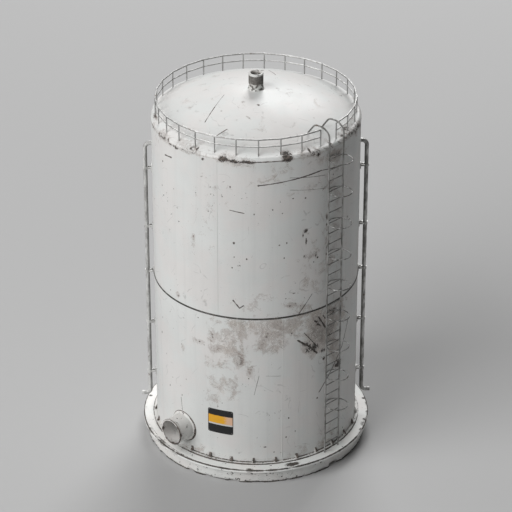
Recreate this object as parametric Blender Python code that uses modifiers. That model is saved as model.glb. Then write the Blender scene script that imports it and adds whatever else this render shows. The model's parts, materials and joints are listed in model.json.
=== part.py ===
# Vertical storage tank: a white painted steel cylinder with a dished roof on a round concrete plinth.
# Metres, +Z up. The origin is the centre of the plinth's underside. An angle of 0 degrees points along -Y
# and angles grow anticlockwise seen from above, so 90 degrees points along +X.
import math

import bmesh
import bpy
from mathutils import Matrix, Vector

UP = Vector((0.0, 0.0, 1.0))
FULL_TURN = 360.0

# A Screw starts from its profile at +X
PROFILE_ANGLE = 90.0

# Gap that touching solids keep, and how far a foot starts inside what then trims it
GAP = 0.0003
SUNK = 0.05

# Welded butt joint between rolled plates
PLATE_JOINT = 0.0015

# Shell: two courses of three rolled plates
SHELL_RADIUS = 2.68
SHELL_PLATE = 0.010
PLATES_ROUND = 3
SHELL_FACETS = 60
SEAM_HEIGHT = 4.822
SHELL_TOP = 9.288
LOWER_JOINT_ANGLE = 60.0
UPPER_JOINT_ANGLE = 24.0

# Concrete plinth with a projecting coping, and the steel bottom plate on it
PLINTH_FOOT_RADIUS = 2.935
PLINTH_NECK_RADIUS = 2.965
COPING_RADIUS = 3.047
COPING_INNER_RADIUS = 2.45
COPING_BEVEL = 0.025
COPING_UNDERSIDE = 0.375
PLINTH_TOP = 0.455
BOTTOM_PLATE_RADIUS = 2.772
BOTTOM_PLATE = 0.020

# Small triangular gussets between the bottom plate and the shell
GUSSETS = 29
GUSSET_START_ANGLE = 6.4
GUSSET_HEIGHT = 0.13
GUSSET_WIDTH = 0.075
GUSSET_REACH = 0.070
GUSSET_BEDDED = 0.002

# Girth seam: a lap that stands a little proud of the shell
SEAM_PROUD = 0.014
SEAM_LAP = 0.045

# Roof: a straight flange, a rounded knuckle and a shallow dish, with a hole under the vent
ROOF_FLANGE = 0.010
KNUCKLE_RADIUS = 0.09
KNUCKLE_STEPS = 3
ROOF_PLATE = 0.010
ROOF_CROWN = 10.038
ROOF_RINGS = 3
CROWN_RADIUS = 0.90
CROWN_JOINT = 0.0012

# Vent: an open pipe stub in the middle of the roof
VENT_RADIUS = 0.195
VENT_BORE_RADIUS = 0.142
VENT_TOP = 10.475
VENT_LIP = 0.035
VENT_BELOW_ROOF = 0.06
VENT_FACETS = 24
VENT_COLLAR_RADIUS = 0.225
VENT_COLLAR = 0.030

# Nozzle: a short wide neck low on the shell at 0 degrees, with a reinforcing pad
NOZZLE_HEIGHT = 1.11
NOZZLE_RADIUS = 0.345
NOZZLE_BORE_RADIUS = 0.323
NOZZLE_BEAD_RADIUS = 0.363
NOZZLE_BEAD = 0.030
NOZZLE_REACH = 0.466
NOZZLE_INSIDE = 0.05
NOZZLE_FACETS = 34
PAD_RADIUS = 0.435
PAD_PROUD = 0.014
PAD_BLANK_SWEEP = 36.0

# Caged ladder at 90 degrees
LADDER_ANGLE = 90.0
LADDER_RADIUS = 2.827
LADDER_HALF_WIDTH = 0.255
STILE_RADIUS = 0.022
STILE_SIDES = 8
RUNG_RADIUS = 0.013
RUNG_PITCH = 0.299
FIRST_RUNG = 0.733
RUNGS = 29
LADDER_TOP = 9.30

# Cage hoops: round bars at every third rung that run round the climber and back to the shell
HOOPS = 9
RUNGS_PER_HOOP = 3
HOOP_RADIUS = 0.295
HOOP_BAR_RADIUS = 0.013
HOOP_CENTRE = SHELL_RADIUS + 2 * GAP + HOOP_BAR_RADIUS + HOOP_RADIUS
HOOP_STEPS = 12
STANDOFF_STEPS = 6
THIN_BAR_SIDES = 6

# Grab rails: the stiles run up, over the shoulder and down to the roof, each with a short brace
GRAB_SHOULDER = 9.78
GRAB_OUTER_TOP = (2.62, 9.925)
GRAB_INNER_TOP = (2.32, 9.90)
GRAB_ROOF_RADIUS = 2.07
GRAB_BEND = 0.10
BRACE_HEIGHT = 9.43
BRACE_RADIUS = 0.018
BRACE_FOOT_RADIUS = 2.585

# Guardrail: straight lengths between posts, with one bay left open at the ladder
RAIL_BAYS = 29
RAIL_ARCS = 4
RAIL_RADIUS = 2.56
RAIL_TOP = 9.856
RAIL_MIDDLE = 9.640
TOP_RAIL_RADIUS = 0.020
MIDDLE_RAIL_RADIUS = 0.016
POST_RADIUS = 0.017
POST_INTO_RAIL = 0.026
POST_SIDES = 8

# Two down-pipes, each held by five clamp brackets
PIPE_ANGLES = {"left": -43.0, "right": 137.0}
PIPE_RADIUS = 0.055
PIPE_CENTRE = 2.847
PIPE_TOP = 8.53
PIPE_BEND = 0.12
PIPE_OUTLET_HEIGHT = 1.01
PIPE_OUTLET_REACH = 3.075
PIPE_SIDES = 10
BEND_STEPS = 4
OUTLET_BORE_DEPTH = 0.12
OUTLET_BORE_RADIUS = 0.047
BRACKET_HEIGHTS = (1.705, 3.25, 4.80, 6.13, 7.83)
CLAMP_RADIUS = 0.071
CLAMP_HEIGHT = 0.07
ARM_THICKNESS = 0.022
ARM_HEIGHT = 0.05
ARM_OFFSET = 0.051
FOOT_WIDTH = 0.20
FOOT_HEIGHT = 0.16
FOOT_THICKNESS = 0.018

# Finishes: slot, colour, roughness and metallic
WHITE_PAINT = ("white_paint", (0.66, 0.65, 0.62, 1.0), 0.55, 0.0)
ROOF_PAINT = ("roof_paint", (0.74, 0.73, 0.71, 1.0), 0.50, 0.0)
PLINTH_PAINT = ("plinth_paint", (0.62, 0.61, 0.58, 1.0), 0.75, 0.0)
GALVANISED = ("galvanised_steel", (0.42, 0.42, 0.41, 1.0), 0.48, 0.85)
RAIL_PAINT = ("rail_paint", (0.38, 0.38, 0.37, 1.0), 0.55, 0.3)
DARK_STEEL = ("dark_steel", (0.16, 0.16, 0.16, 1.0), 0.60, 0.7)


def clear_scene():
    for obj in list(bpy.data.objects):
        bpy.data.objects.remove(obj, do_unlink=True)


def make_collection(name):
    collection = bpy.data.collections.new(name)
    bpy.context.scene.collection.children.link(collection)
    return collection


def material(finish):
    name, colour, roughness, metallic = finish
    made = bpy.data.materials.get(name)
    if made is None:
        made = bpy.data.materials.new(name)
        made.use_nodes = True
        shader = made.node_tree.nodes["Principled BSDF"]
        shader.inputs["Base Color"].default_value = colour
        shader.inputs["Roughness"].default_value = roughness
        shader.inputs["Metallic"].default_value = metallic
        made.diffuse_color = colour
    return made


# Places round the tank

def outward(angle):
    """Unit vector that points away from the tank's axis at this angle in degrees."""
    turn = math.radians(angle)
    return Vector((math.sin(turn), -math.cos(turn), 0.0))


def along(angle):
    """Unit vector along the shell, towards growing angles."""
    turn = math.radians(angle)
    return Vector((math.cos(turn), math.sin(turn), 0.0))


def place(angle, radius, height):
    return outward(angle) * radius + UP * height


def facing(angle, radius, height):
    """Matrix of a local frame on the shell: X outward, Y along the shell, Z up."""
    frame = Matrix.Translation(place(angle, radius, height))
    for column, axis in enumerate((outward(angle), along(angle), UP)):
        for row in range(3):
            frame[row][column] = axis[row]
    return frame


# Modelling helpers

def new_object(name, data, collection, finish=None):
    obj = bpy.data.objects.new(name, data)
    collection.objects.link(obj)
    if finish:
        data.materials.append(material(finish))
    return obj


def smooth(obj, limit=35.0):
    obj.data.shade_smooth()
    obj.data.set_sharp_from_angle(angle=math.radians(limit))


def apply_modifiers(obj):
    """The same object as a mesh of its evaluated shape, so that it can be cut or joined."""
    bpy.context.view_layer.update()
    graph = bpy.context.evaluated_depsgraph_get()
    mesh = bpy.data.meshes.new_from_object(obj.evaluated_get(graph))
    shape = bmesh.new()
    shape.from_mesh(mesh)
    bmesh.ops.remove_doubles(shape, verts=shape.verts, dist=0.00002)
    shape.to_mesh(mesh)
    shape.free()
    name = obj.name
    collection = obj.users_collection[0]
    matrix = obj.matrix_world.copy()
    bpy.data.objects.remove(obj, do_unlink=True)
    made = new_object(name, mesh, collection)
    made.matrix_world = matrix
    smooth(made)
    return made


def turned(name, profile, facets, collection, finish=None, closed=False, start=PROFILE_ANGLE,
           sweep=FULL_TURN, wall=None):
    """A profile of (radius, height) points, listed down its outer side, turned about the Z axis.

    An open profile that doesn't meet the axis is a plate's outer face and takes a wall, on its inner side.
    """
    count = len(profile)
    edges = [(i, (i + 1) % count) for i in range(count if closed else count - 1)]
    mesh = bpy.data.meshes.new(name)
    mesh.from_pydata([(radius, 0.0, height) for radius, height in profile], edges, [])
    obj = new_object(name, mesh, collection, finish)
    obj.rotation_euler.z = math.radians(start - PROFILE_ANGLE)
    screw = obj.modifiers.new("turn", "SCREW")
    screw.angle = math.radians(sweep)
    screw.steps = max(1, round(facets * sweep / FULL_TURN))
    screw.render_steps = screw.steps
    screw.use_merge_vertices = sweep == FULL_TURN
    screw.merge_threshold = 0.0001
    if wall:
        thickness = obj.modifiers.new("wall", "SOLIDIFY")
        thickness.thickness = wall
        thickness.offset = -1.0
        thickness.use_even_offset = True
    return apply_modifiers(obj)


def bar(name, points, radius, collection, sides=8, finish=None):
    """A round bar or pipe through these points, with flat capped ends."""
    curve = bpy.data.curves.new(name, "CURVE")
    curve.dimensions = "3D"
    curve.bevel_depth = radius
    curve.bevel_resolution = sides // 2 - 2
    curve.use_fill_caps = True
    spline = curve.splines.new("POLY")
    spline.points.add(len(points) - 1)
    for point, here in zip(spline.points, points):
        point.co = (*here, 1.0)
    return apply_modifiers(new_object(name, curve, collection, finish))


def cylinder(name, centre, direction, radius, depth, sides, collection):
    """A capped cylinder whose middle is at the centre and whose axis runs along the direction."""
    mesh = bpy.data.meshes.new(name)
    shape = bmesh.new()
    turn = UP.rotation_difference(direction).to_matrix().to_4x4()
    bmesh.ops.create_cone(
        shape, cap_ends=True, segments=sides, radius1=radius, radius2=radius, depth=depth,
        matrix=Matrix.Translation(centre) @ turn,
    )
    shape.to_mesh(mesh)
    shape.free()
    return new_object(name, mesh, collection)


def block(name, frame, size, collection):
    """A box centred on a local frame, with its size along the frame's axes."""
    mesh = bpy.data.meshes.new(name)
    shape = bmesh.new()
    bmesh.ops.create_cube(shape, size=1.0, matrix=frame @ Matrix.Diagonal((*size, 1.0)))
    shape.to_mesh(mesh)
    shape.free()
    return new_object(name, mesh, collection)


def flat_plate(name, outline, thickness, frame, collection):
    """A flat plate with this outline in the frame's X and Y, half its thickness on either side."""
    curve = bpy.data.curves.new(name, "CURVE")
    curve.dimensions = "2D"
    curve.fill_mode = "BOTH"
    curve.extrude = thickness / 2
    spline = curve.splines.new("POLY")
    spline.points.add(len(outline) - 1)
    for point, (x, y) in zip(spline.points, outline):
        point.co = (x, y, 0.0, 1.0)
    spline.use_cyclic_u = True
    obj = new_object(name, curve, collection)
    obj.matrix_world = frame
    return apply_modifiers(obj)


def cutter(obj):
    obj.hide_render = True
    obj.display_type = "WIRE"
    return obj


def boolean(obj, tool, operation):
    modifier = obj.modifiers.new(operation.lower() + "_" + tool.name, "BOOLEAN")
    modifier.solver = "EXACT"
    modifier.operation = operation
    modifier.object = cutter(tool)


def cut(obj, tool):
    boolean(obj, tool, "DIFFERENCE")


def join(name, pieces, collection, finish):
    """One solid made from overlapping pieces, which are used up."""
    first = pieces[0]
    group = bpy.data.collections.new(name + "_pieces")
    for other in pieces[1:]:
        group.objects.link(other)
    modifier = first.modifiers.new("join", "BOOLEAN")
    modifier.solver = "EXACT"
    modifier.operation = "UNION"
    modifier.operand_type = "COLLECTION"
    modifier.collection = group
    made = apply_modifiers(first)
    for other in pieces[1:]:
        bpy.data.objects.remove(other, do_unlink=True)
    bpy.data.collections.remove(group)
    made.name = name
    made.data.materials.clear()
    made.data.materials.append(material(finish))
    for old in list(made.users_collection):
        old.objects.unlink(made)
    collection.objects.link(made)
    return made


def rounded(corners, radius, steps=4):
    """The same path with each corner replaced by a short curve."""
    points = [corners[0]]
    for before, corner, after in zip(corners, corners[1:], corners[2:]):
        reach = min(radius, (before - corner).length / 2.2, (after - corner).length / 2.2)
        start = corner + (before - corner).normalized() * reach
        end = corner + (after - corner).normalized() * reach
        for i in range(steps + 1):
            t = i / steps
            points.append(start * (1 - t) ** 2 + corner * 2 * t * (1 - t) + end * t ** 2)
    return points + [corners[-1]]


def quarter_bend(centre, first, second, radius):
    """Points of a bend that starts along the first axis from the centre and ends along the second."""
    turns = [math.pi / 2 * i / BEND_STEPS for i in range(BEND_STEPS + 1)]
    return [centre + (first * math.cos(t) + second * math.sin(t)) * radius for t in turns]


# The roof's shape

def roof_height(radius):
    """Height of the roof's outer side: a knuckle at the edge and a dish inside it."""
    dish_radius = SHELL_RADIUS - KNUCKLE_RADIUS
    knuckle_foot = SHELL_TOP + ROOF_FLANGE
    dish_edge = knuckle_foot + KNUCKLE_RADIUS
    if radius >= dish_radius:
        reach = min(radius - dish_radius, KNUCKLE_RADIUS)
        return knuckle_foot + math.sqrt(KNUCKLE_RADIUS ** 2 - reach ** 2)
    return ROOF_CROWN - (ROOF_CROWN - dish_edge) * (radius / dish_radius) ** 2


def roof_profile():
    """Points down the roof's outer side, from the crown's edge over the knuckle to the flange's foot."""
    dish_radius = SHELL_RADIUS - KNUCKLE_RADIUS
    radii = [CROWN_RADIUS + (dish_radius - CROWN_RADIUS) * i / ROOF_RINGS for i in range(ROOF_RINGS)]
    for step in range(KNUCKLE_STEPS + 1):
        radii.append(dish_radius + KNUCKLE_RADIUS * math.sin(math.pi / 2 * step / KNUCKLE_STEPS))
    return [(r, roof_height(r)) for r in radii] + [(SHELL_RADIUS, SHELL_TOP)]


# Spaces that trim whatever stands on the roof or is fixed to the shell

def make_roof_space(cutters):
    outer = [(r + GAP, z + GAP) for r, z in roof_profile()]
    foot = SHELL_TOP - KNUCKLE_RADIUS
    profile = [(0.0, outer[0][1])] + outer + [(SHELL_RADIUS + GAP, foot), (0.0, foot)]
    return cutter(turned("roof_space", profile, SHELL_FACETS, cutters))


def make_shell_space(cutters):
    foot = PLINTH_TOP + BOTTOM_PLATE + 2 * GAP
    radius = SHELL_RADIUS + GAP
    profile = [(0.0, SHELL_TOP), (radius, SHELL_TOP), (radius, foot), (0.0, foot)]
    return cutter(turned("shell_space", profile, SHELL_FACETS, cutters))


def make_seam_space(cutters):
    half = SEAM_LAP / 2 + GAP
    outer = SHELL_RADIUS + SEAM_PROUD + GAP
    inner = SHELL_RADIUS - SUNK
    profile = [
        (outer, SEAM_HEIGHT + half), (outer, SEAM_HEIGHT - half),
        (inner, SEAM_HEIGHT - half), (inner, SEAM_HEIGHT + half),
    ]
    return cutter(turned("seam_space", profile, SHELL_FACETS, cutters, closed=True))


# Plinth and bottom plate

def build_plinth(parts):
    plinth = [
        (0.0, PLINTH_TOP), (COPING_INNER_RADIUS, PLINTH_TOP), (COPING_INNER_RADIUS, COPING_UNDERSIDE),
        (PLINTH_NECK_RADIUS, COPING_UNDERSIDE), (PLINTH_FOOT_RADIUS, 0.0), (0.0, 0.0),
    ]
    turned("plinth", plinth, SHELL_FACETS, parts, PLINTH_PAINT)
    inner = COPING_INNER_RADIUS + GAP
    foot = COPING_UNDERSIDE + GAP
    coping = [
        (inner, PLINTH_TOP), (COPING_RADIUS - COPING_BEVEL, PLINTH_TOP),
        (COPING_RADIUS, PLINTH_TOP - COPING_BEVEL), (COPING_RADIUS, foot), (inner, foot),
    ]
    turned("plinth_coping", coping, SHELL_FACETS, parts, PLINTH_PAINT, closed=True)


def build_bottom_plate(parts, shell_space):
    low = PLINTH_TOP + GAP
    high = low + BOTTOM_PLATE
    disc = [(0.0, high), (BOTTOM_PLATE_RADIUS, high), (BOTTOM_PLATE_RADIUS, low), (0.0, low)]
    pieces = [turned("bottom_plate", disc, SHELL_FACETS, parts)]
    back = -SUNK / 2
    wedge = [(back, 0.0), (GUSSET_REACH, 0.0), (0.0, GUSSET_HEIGHT), (back, GUSSET_HEIGHT)]
    upright = Matrix.Rotation(math.pi / 2, 4, "X")
    for number in range(GUSSETS):
        angle = GUSSET_START_ANGLE + FULL_TURN * number / GUSSETS
        frame = facing(angle, SHELL_RADIUS, high - GUSSET_BEDDED) @ upright
        pieces.append(flat_plate(f"gusset_{number}", wedge, GUSSET_WIDTH, frame, parts))
    cut(join("bottom_plate", pieces, parts, WHITE_PAINT), shell_space)


# Shell

def shell_plate(name, start, low, high, parts):
    """One rolled plate of the shell, with an open hair joint to its neighbours."""
    sweep = FULL_TURN / PLATES_ROUND - math.degrees(PLATE_JOINT / SHELL_RADIUS)
    return turned(name, [(SHELL_RADIUS, high), (SHELL_RADIUS, low)], SHELL_FACETS, parts, WHITE_PAINT,
                  start=start, sweep=sweep, wall=SHELL_PLATE)


def build_shell(parts, cutters):
    foot = PLINTH_TOP + BOTTOM_PLATE + 2 * GAP
    for number in range(PLATES_ROUND):
        turn = FULL_TURN / PLATES_ROUND * number
        lower = shell_plate(f"lower_shell_plate_{number + 1}", LOWER_JOINT_ANGLE + turn, foot,
                            SEAM_HEIGHT - GAP, parts)
        if number == PLATES_ROUND - 1:
            cut(lower, nozzle_space("nozzle_hole", NOZZLE_RADIUS + GAP, cutters))
        shell_plate(f"upper_shell_plate_{number + 1}", UPPER_JOINT_ANGLE + turn, SEAM_HEIGHT,
                    SHELL_TOP - GAP, parts)


def build_seam(parts):
    inner = SHELL_RADIUS + GAP * 2
    outer = SHELL_RADIUS + SEAM_PROUD
    high = SEAM_HEIGHT + SEAM_LAP / 2
    low = SEAM_HEIGHT - SEAM_LAP / 2
    profile = [(inner, high), (outer, high - SEAM_PROUD / 2), (outer, low), (inner, low)]
    turned("girth_seam", profile, SHELL_FACETS, parts, WHITE_PAINT, closed=True)


# Roof and vent

def build_roof(parts):
    sweep = FULL_TURN / PLATES_ROUND - math.degrees(PLATE_JOINT / SHELL_RADIUS)
    for number in range(PLATES_ROUND):
        start = LOWER_JOINT_ANGLE + FULL_TURN / PLATES_ROUND * number
        turned(f"roof_plate_{number + 1}", roof_profile(), SHELL_FACETS, parts, ROOF_PAINT,
               start=start, sweep=sweep, wall=ROOF_PLATE)
    crown = [(r, roof_height(r)) for r in (VENT_RADIUS + CROWN_JOINT, CROWN_RADIUS - CROWN_JOINT)]
    turned("roof_crown", crown, SHELL_FACETS, parts, ROOF_PAINT, wall=ROOF_PLATE)


def build_vent(parts):
    collar_foot = roof_height(VENT_RADIUS) + GAP
    low = collar_foot - VENT_BELOW_ROOF
    profile = [
        (VENT_BORE_RADIUS, VENT_TOP), (VENT_BORE_RADIUS + VENT_LIP / 2, VENT_TOP),
        (VENT_RADIUS, VENT_TOP - VENT_LIP), (VENT_RADIUS, collar_foot + VENT_COLLAR),
        (VENT_COLLAR_RADIUS, collar_foot + VENT_COLLAR / 3), (VENT_COLLAR_RADIUS, collar_foot),
        (VENT_RADIUS - GAP, collar_foot), (VENT_RADIUS - GAP, low), (VENT_BORE_RADIUS, low),
    ]
    turned("vent_pipe", profile, VENT_FACETS, parts, DARK_STEEL, closed=True)


# Nozzle

def nozzle_turned(name, profile, collection, finish=None, closed=False):
    """A shape turned about the nozzle's axis, with heights counted outward from the neck's inner end."""
    obj = turned(name, profile, NOZZLE_FACETS, collection, finish, closed)
    inner_end = place(0.0, SHELL_RADIUS - NOZZLE_INSIDE, NOZZLE_HEIGHT)
    obj.matrix_world = Matrix.Translation(inner_end) @ Matrix.Rotation(math.pi / 2, 4, "X")
    return obj


def nozzle_space(name, radius, cutters):
    """A plain cylinder on the nozzle's axis, longer than the neck, that cuts or trims the plates it meets."""
    high = NOZZLE_REACH
    low = -NOZZLE_REACH
    return nozzle_turned(name, [(0.0, high), (radius, high), (radius, low), (0.0, low)], cutters)


def build_nozzle(parts, cutters):
    length = NOZZLE_REACH + NOZZLE_INSIDE
    bead_foot = length - NOZZLE_BEAD
    profile = [
        (NOZZLE_BORE_RADIUS, length), (NOZZLE_BEAD_RADIUS, length), (NOZZLE_BEAD_RADIUS, bead_foot),
        (NOZZLE_RADIUS, bead_foot), (NOZZLE_RADIUS, 0.0), (NOZZLE_BORE_RADIUS, 0.0),
    ]
    nozzle_turned("nozzle_neck", profile, parts, WHITE_PAINT, closed=True)
    high = NOZZLE_HEIGHT + PAD_RADIUS + SUNK
    low = NOZZLE_HEIGHT - PAD_RADIUS - SUNK
    face = SHELL_RADIUS + PAD_PROUD
    pad = turned("nozzle_pad", [(face, high), (face, low)], SHELL_FACETS, parts, WHITE_PAINT,
                 start=-PAD_BLANK_SWEEP / 2, sweep=PAD_BLANK_SWEEP, wall=PAD_PROUD - 2 * GAP)
    boolean(pad, nozzle_space("pad_outline", PAD_RADIUS, cutters), "INTERSECT")
    cut(pad, nozzle_space("pad_hole", NOZZLE_RADIUS + GAP, cutters))


# Ladder with its safety cage and grab rails

def ladder_point(side, radius, height):
    return place(LADDER_ANGLE, radius, height) + along(LADDER_ANGLE) * LADDER_HALF_WIDTH * side


def build_stiles(name, radius, collection):
    stiles = []
    for side in (-1, 1):
        ends = [ladder_point(side, LADDER_RADIUS, PLINTH_TOP + GAP), ladder_point(side, LADDER_RADIUS, LADDER_TOP)]
        stiles.append(bar(f"{name}_{side}", ends, radius, collection, STILE_SIDES))
    return stiles


def hoop_path(start, end, steps, height):
    """Centre line of part of a cage hoop: a turn of 0 is the hoop's outermost point."""
    centre = place(LADDER_ANGLE, HOOP_CENTRE, height)
    turns = [start + (end - start) * i / steps for i in range(steps + 1)]
    return [centre + (outward(LADDER_ANGLE) * math.cos(t) + along(LADDER_ANGLE) * math.sin(t)) * HOOP_RADIUS
            for t in turns]


def stile_turn():
    """Turn at which a hoop's centre line crosses the plane of the ladder."""
    return math.acos((LADDER_RADIUS - HOOP_CENTRE) / HOOP_RADIUS)


def hoop_heights():
    """Each hoop passes just under a rung; the first is at the top."""
    top = FIRST_RUNG + RUNG_PITCH * (RUNGS - 1) - RUNG_RADIUS
    return [top - RUNG_PITCH * RUNGS_PER_HOOP * number for number in range(HOOPS)]


def build_ladder(parts):
    """Stiles and rungs, with the back of each cage hoop as its stand-off from the shell."""
    pieces = build_stiles("stile", STILE_RADIUS, parts)
    for number in range(RUNGS):
        height = FIRST_RUNG + RUNG_PITCH * number
        ends = [ladder_point(-1, LADDER_RADIUS, height), ladder_point(1, LADDER_RADIUS, height)]
        pieces.append(bar(f"rung_{number}", ends, RUNG_RADIUS, parts, THIN_BAR_SIDES))
    start = stile_turn()
    for number, height in enumerate(hoop_heights()):
        points = hoop_path(start, 2 * math.pi - start, STANDOFF_STEPS, height)
        pieces.append(bar(f"standoff_{number}", points, HOOP_BAR_RADIUS, parts, THIN_BAR_SIDES))
    join("ladder", pieces, parts, RAIL_PAINT)


def build_hoops(parts, cutters):
    """The front of each hoop of the safety cage, butted against the outer side of both stiles."""
    stiles = build_stiles("stile_space", STILE_RADIUS + GAP * 2, cutters)
    start = stile_turn()
    for number, height in enumerate(hoop_heights()):
        points = hoop_path(-start, start, HOOP_STEPS, height)
        hoop = bar(f"cage_hoop_{number + 1}", points, HOOP_BAR_RADIUS, parts, THIN_BAR_SIDES, RAIL_PAINT)
        for stile in stiles:
            cut(hoop, stile)


def build_grab_rails(parts, roof_space):
    for name, side in (("left", -1), ("right", 1)):
        corners = [
            ladder_point(side, LADDER_RADIUS, LADDER_TOP + GAP),
            ladder_point(side, LADDER_RADIUS, GRAB_SHOULDER),
            ladder_point(side, *GRAB_OUTER_TOP),
            ladder_point(side, *GRAB_INNER_TOP),
            ladder_point(side, GRAB_ROOF_RADIUS, roof_height(GRAB_ROOF_RADIUS) - SUNK),
        ]
        rail = bar(f"grab_rail_{name}", rounded(corners, GRAB_BEND), STILE_RADIUS, parts, STILE_SIDES)
        ends = [ladder_point(side, LADDER_RADIUS, BRACE_HEIGHT),
                ladder_point(side, BRACE_FOOT_RADIUS, roof_height(BRACE_FOOT_RADIUS) - SUNK)]
        brace = bar(f"brace_{name}", ends, BRACE_RADIUS, parts, THIN_BAR_SIDES)
        cut(join(f"grab_rail_{name}", [rail, brace], parts, RAIL_PAINT), roof_space)


# Guardrail

def build_guardrail(parts, roof_space):
    pitch = FULL_TURN / RAIL_BAYS
    first = LADDER_ANGLE + pitch / 2
    per_arc = (RAIL_BAYS - 1) // RAIL_ARCS
    rails = {"top": (RAIL_TOP - TOP_RAIL_RADIUS, TOP_RAIL_RADIUS), "middle": (RAIL_MIDDLE, MIDDLE_RAIL_RADIUS)}
    for arc in range(RAIL_ARCS):
        low = arc * per_arc
        high = low + per_arc
        last = arc == RAIL_ARCS - 1
        pieces = []
        for name, (height, radius) in rails.items():
            points = [place(first + pitch * i, RAIL_RADIUS, height) for i in range(low, high + 1)]
            if not last:
                points[-1] += (points[-2] - points[-1]).normalized() * (TOP_RAIL_RADIUS + GAP)
            pieces.append(bar(f"{name}_rail_{arc}", points, radius, parts, THIN_BAR_SIDES))
        for i in range(low, high + 1 if last else high):
            ends = [place(first + pitch * i, RAIL_RADIUS, roof_height(RAIL_RADIUS) - SUNK),
                    place(first + pitch * i, RAIL_RADIUS, RAIL_TOP - POST_INTO_RAIL)]
            pieces.append(bar(f"post_{i}", ends, POST_RADIUS, parts, POST_SIDES))
        cut(join(f"guardrail_{arc + 1}", pieces, parts, RAIL_PAINT), roof_space)


# Down-pipes and their brackets

def pipe_path(angle):
    out = outward(angle)
    axis = out * PIPE_CENTRE
    top = quarter_bend(axis - out * PIPE_BEND + UP * (PIPE_TOP - PIPE_BEND), UP, out, PIPE_BEND)
    foot = quarter_bend(axis + out * PIPE_BEND + UP * (PIPE_OUTLET_HEIGHT + PIPE_BEND), -out, -UP, PIPE_BEND)
    return [place(angle, SHELL_RADIUS - SUNK, PIPE_TOP)] + top + foot + [
        place(angle, PIPE_OUTLET_REACH, PIPE_OUTLET_HEIGHT)]


def build_pipe(name, angle, parts, cutters, shell_space):
    pipe = bar(f"down_pipe_{name}", pipe_path(angle), PIPE_RADIUS, parts, PIPE_SIDES, GALVANISED)
    outlet = place(angle, PIPE_OUTLET_REACH, PIPE_OUTLET_HEIGHT)
    bore = cylinder(f"outlet_bore_{name}", outlet, outward(angle), OUTLET_BORE_RADIUS, OUTLET_BORE_DEPTH * 2,
                    PIPE_SIDES, cutters)
    cut(pipe, bore)
    cut(pipe, shell_space)


def build_bracket(name, angle, height, parts, spaces):
    """A clamp round the pipe, two arm bars, and a foot that is curved to the shell."""
    clamp = cylinder(name, place(angle, PIPE_CENTRE, height), UP, CLAMP_RADIUS, CLAMP_HEIGHT, PIPE_SIDES, parts)
    foot = block(name + "_foot", facing(angle, SHELL_RADIUS, height),
                 (FOOT_THICKNESS * 2, FOOT_WIDTH, FOOT_HEIGHT), parts)
    pieces = [clamp, foot]
    length = PIPE_CENTRE - SHELL_RADIUS
    for side in (-1, 1):
        frame = facing(angle, SHELL_RADIUS + length / 2, height) @ Matrix.Translation((0.0, side * ARM_OFFSET, 0.0))
        pieces.append(block(f"{name}_arm_{side}", frame, (length, ARM_THICKNESS, ARM_HEIGHT), parts))
    bracket = join(name, pieces, parts, GALVANISED)
    for space in spaces:
        cut(bracket, space)


def build_pipework(parts, cutters, shell_space, seam_space):
    for name, angle in PIPE_ANGLES.items():
        build_pipe(name, angle, parts, cutters, shell_space)
        pipe_space = bar(f"pipe_space_{name}", pipe_path(angle), PIPE_RADIUS + GAP * 2, cutters, PIPE_SIDES)
        for number, height in enumerate(BRACKET_HEIGHTS):
            spaces = [pipe_space, shell_space]
            if abs(height - SEAM_HEIGHT) < FOOT_HEIGHT:
                spaces.append(seam_space)
            build_bracket(f"pipe_bracket_{name}_{number + 1}", angle, height, parts, spaces)


clear_scene()
parts = make_collection("vertical_storage_tank")
cutters = make_collection("cutters")
roof_space = make_roof_space(cutters)
shell_space = make_shell_space(cutters)
seam_space = make_seam_space(cutters)
build_plinth(parts)
build_bottom_plate(parts, shell_space)
build_shell(parts, cutters)
build_seam(parts)
build_roof(parts)
build_vent(parts)
build_nozzle(parts, cutters)
build_ladder(parts)
build_hoops(parts, cutters)
build_grab_rails(parts, roof_space)
build_guardrail(parts, roof_space)
build_pipework(parts, cutters, shell_space, seam_space)
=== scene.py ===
import json
import math

import bmesh
import bpy
from mathutils import Matrix, Vector, noise

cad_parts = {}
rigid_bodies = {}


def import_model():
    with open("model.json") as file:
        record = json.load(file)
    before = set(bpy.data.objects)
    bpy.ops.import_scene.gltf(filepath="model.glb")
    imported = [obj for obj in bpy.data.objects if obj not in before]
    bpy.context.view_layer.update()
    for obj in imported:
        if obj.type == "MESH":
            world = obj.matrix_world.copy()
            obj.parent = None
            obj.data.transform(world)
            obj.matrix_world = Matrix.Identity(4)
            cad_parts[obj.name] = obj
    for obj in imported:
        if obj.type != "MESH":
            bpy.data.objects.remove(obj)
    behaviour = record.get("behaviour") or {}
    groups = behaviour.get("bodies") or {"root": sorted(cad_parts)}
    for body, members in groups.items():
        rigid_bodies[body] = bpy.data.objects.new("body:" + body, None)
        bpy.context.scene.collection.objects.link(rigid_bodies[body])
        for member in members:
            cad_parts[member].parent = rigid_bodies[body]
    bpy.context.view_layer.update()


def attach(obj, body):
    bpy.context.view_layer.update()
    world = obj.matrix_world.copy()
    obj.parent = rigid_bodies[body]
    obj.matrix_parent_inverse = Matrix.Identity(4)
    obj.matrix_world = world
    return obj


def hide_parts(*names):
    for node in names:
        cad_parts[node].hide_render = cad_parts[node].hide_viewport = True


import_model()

PARTS = bpy.data.objects


# The room: a pale matt floor, a large soft lamp high on the left and a smaller one behind,
# and the camera, which looks down on the tank from well back through a long lens.

FLOOR_REACH = 220.0
LAMP_DISTANCE = 100.0
LAMP_AIM = Vector((0.0, 0.0, 5.0))


def placed(name, data):
    """An object in the scene, from its mesh, lamp or camera."""
    thing = PARTS.new(name, data)
    bpy.context.scene.collection.objects.link(thing)
    return thing


def new_finish(name):
    """A new material, with its tree and its shader's inputs."""
    made = bpy.data.materials.new(name)
    made.use_nodes = True
    return made, made.node_tree, made.node_tree.nodes["Principled BSDF"].inputs


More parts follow.
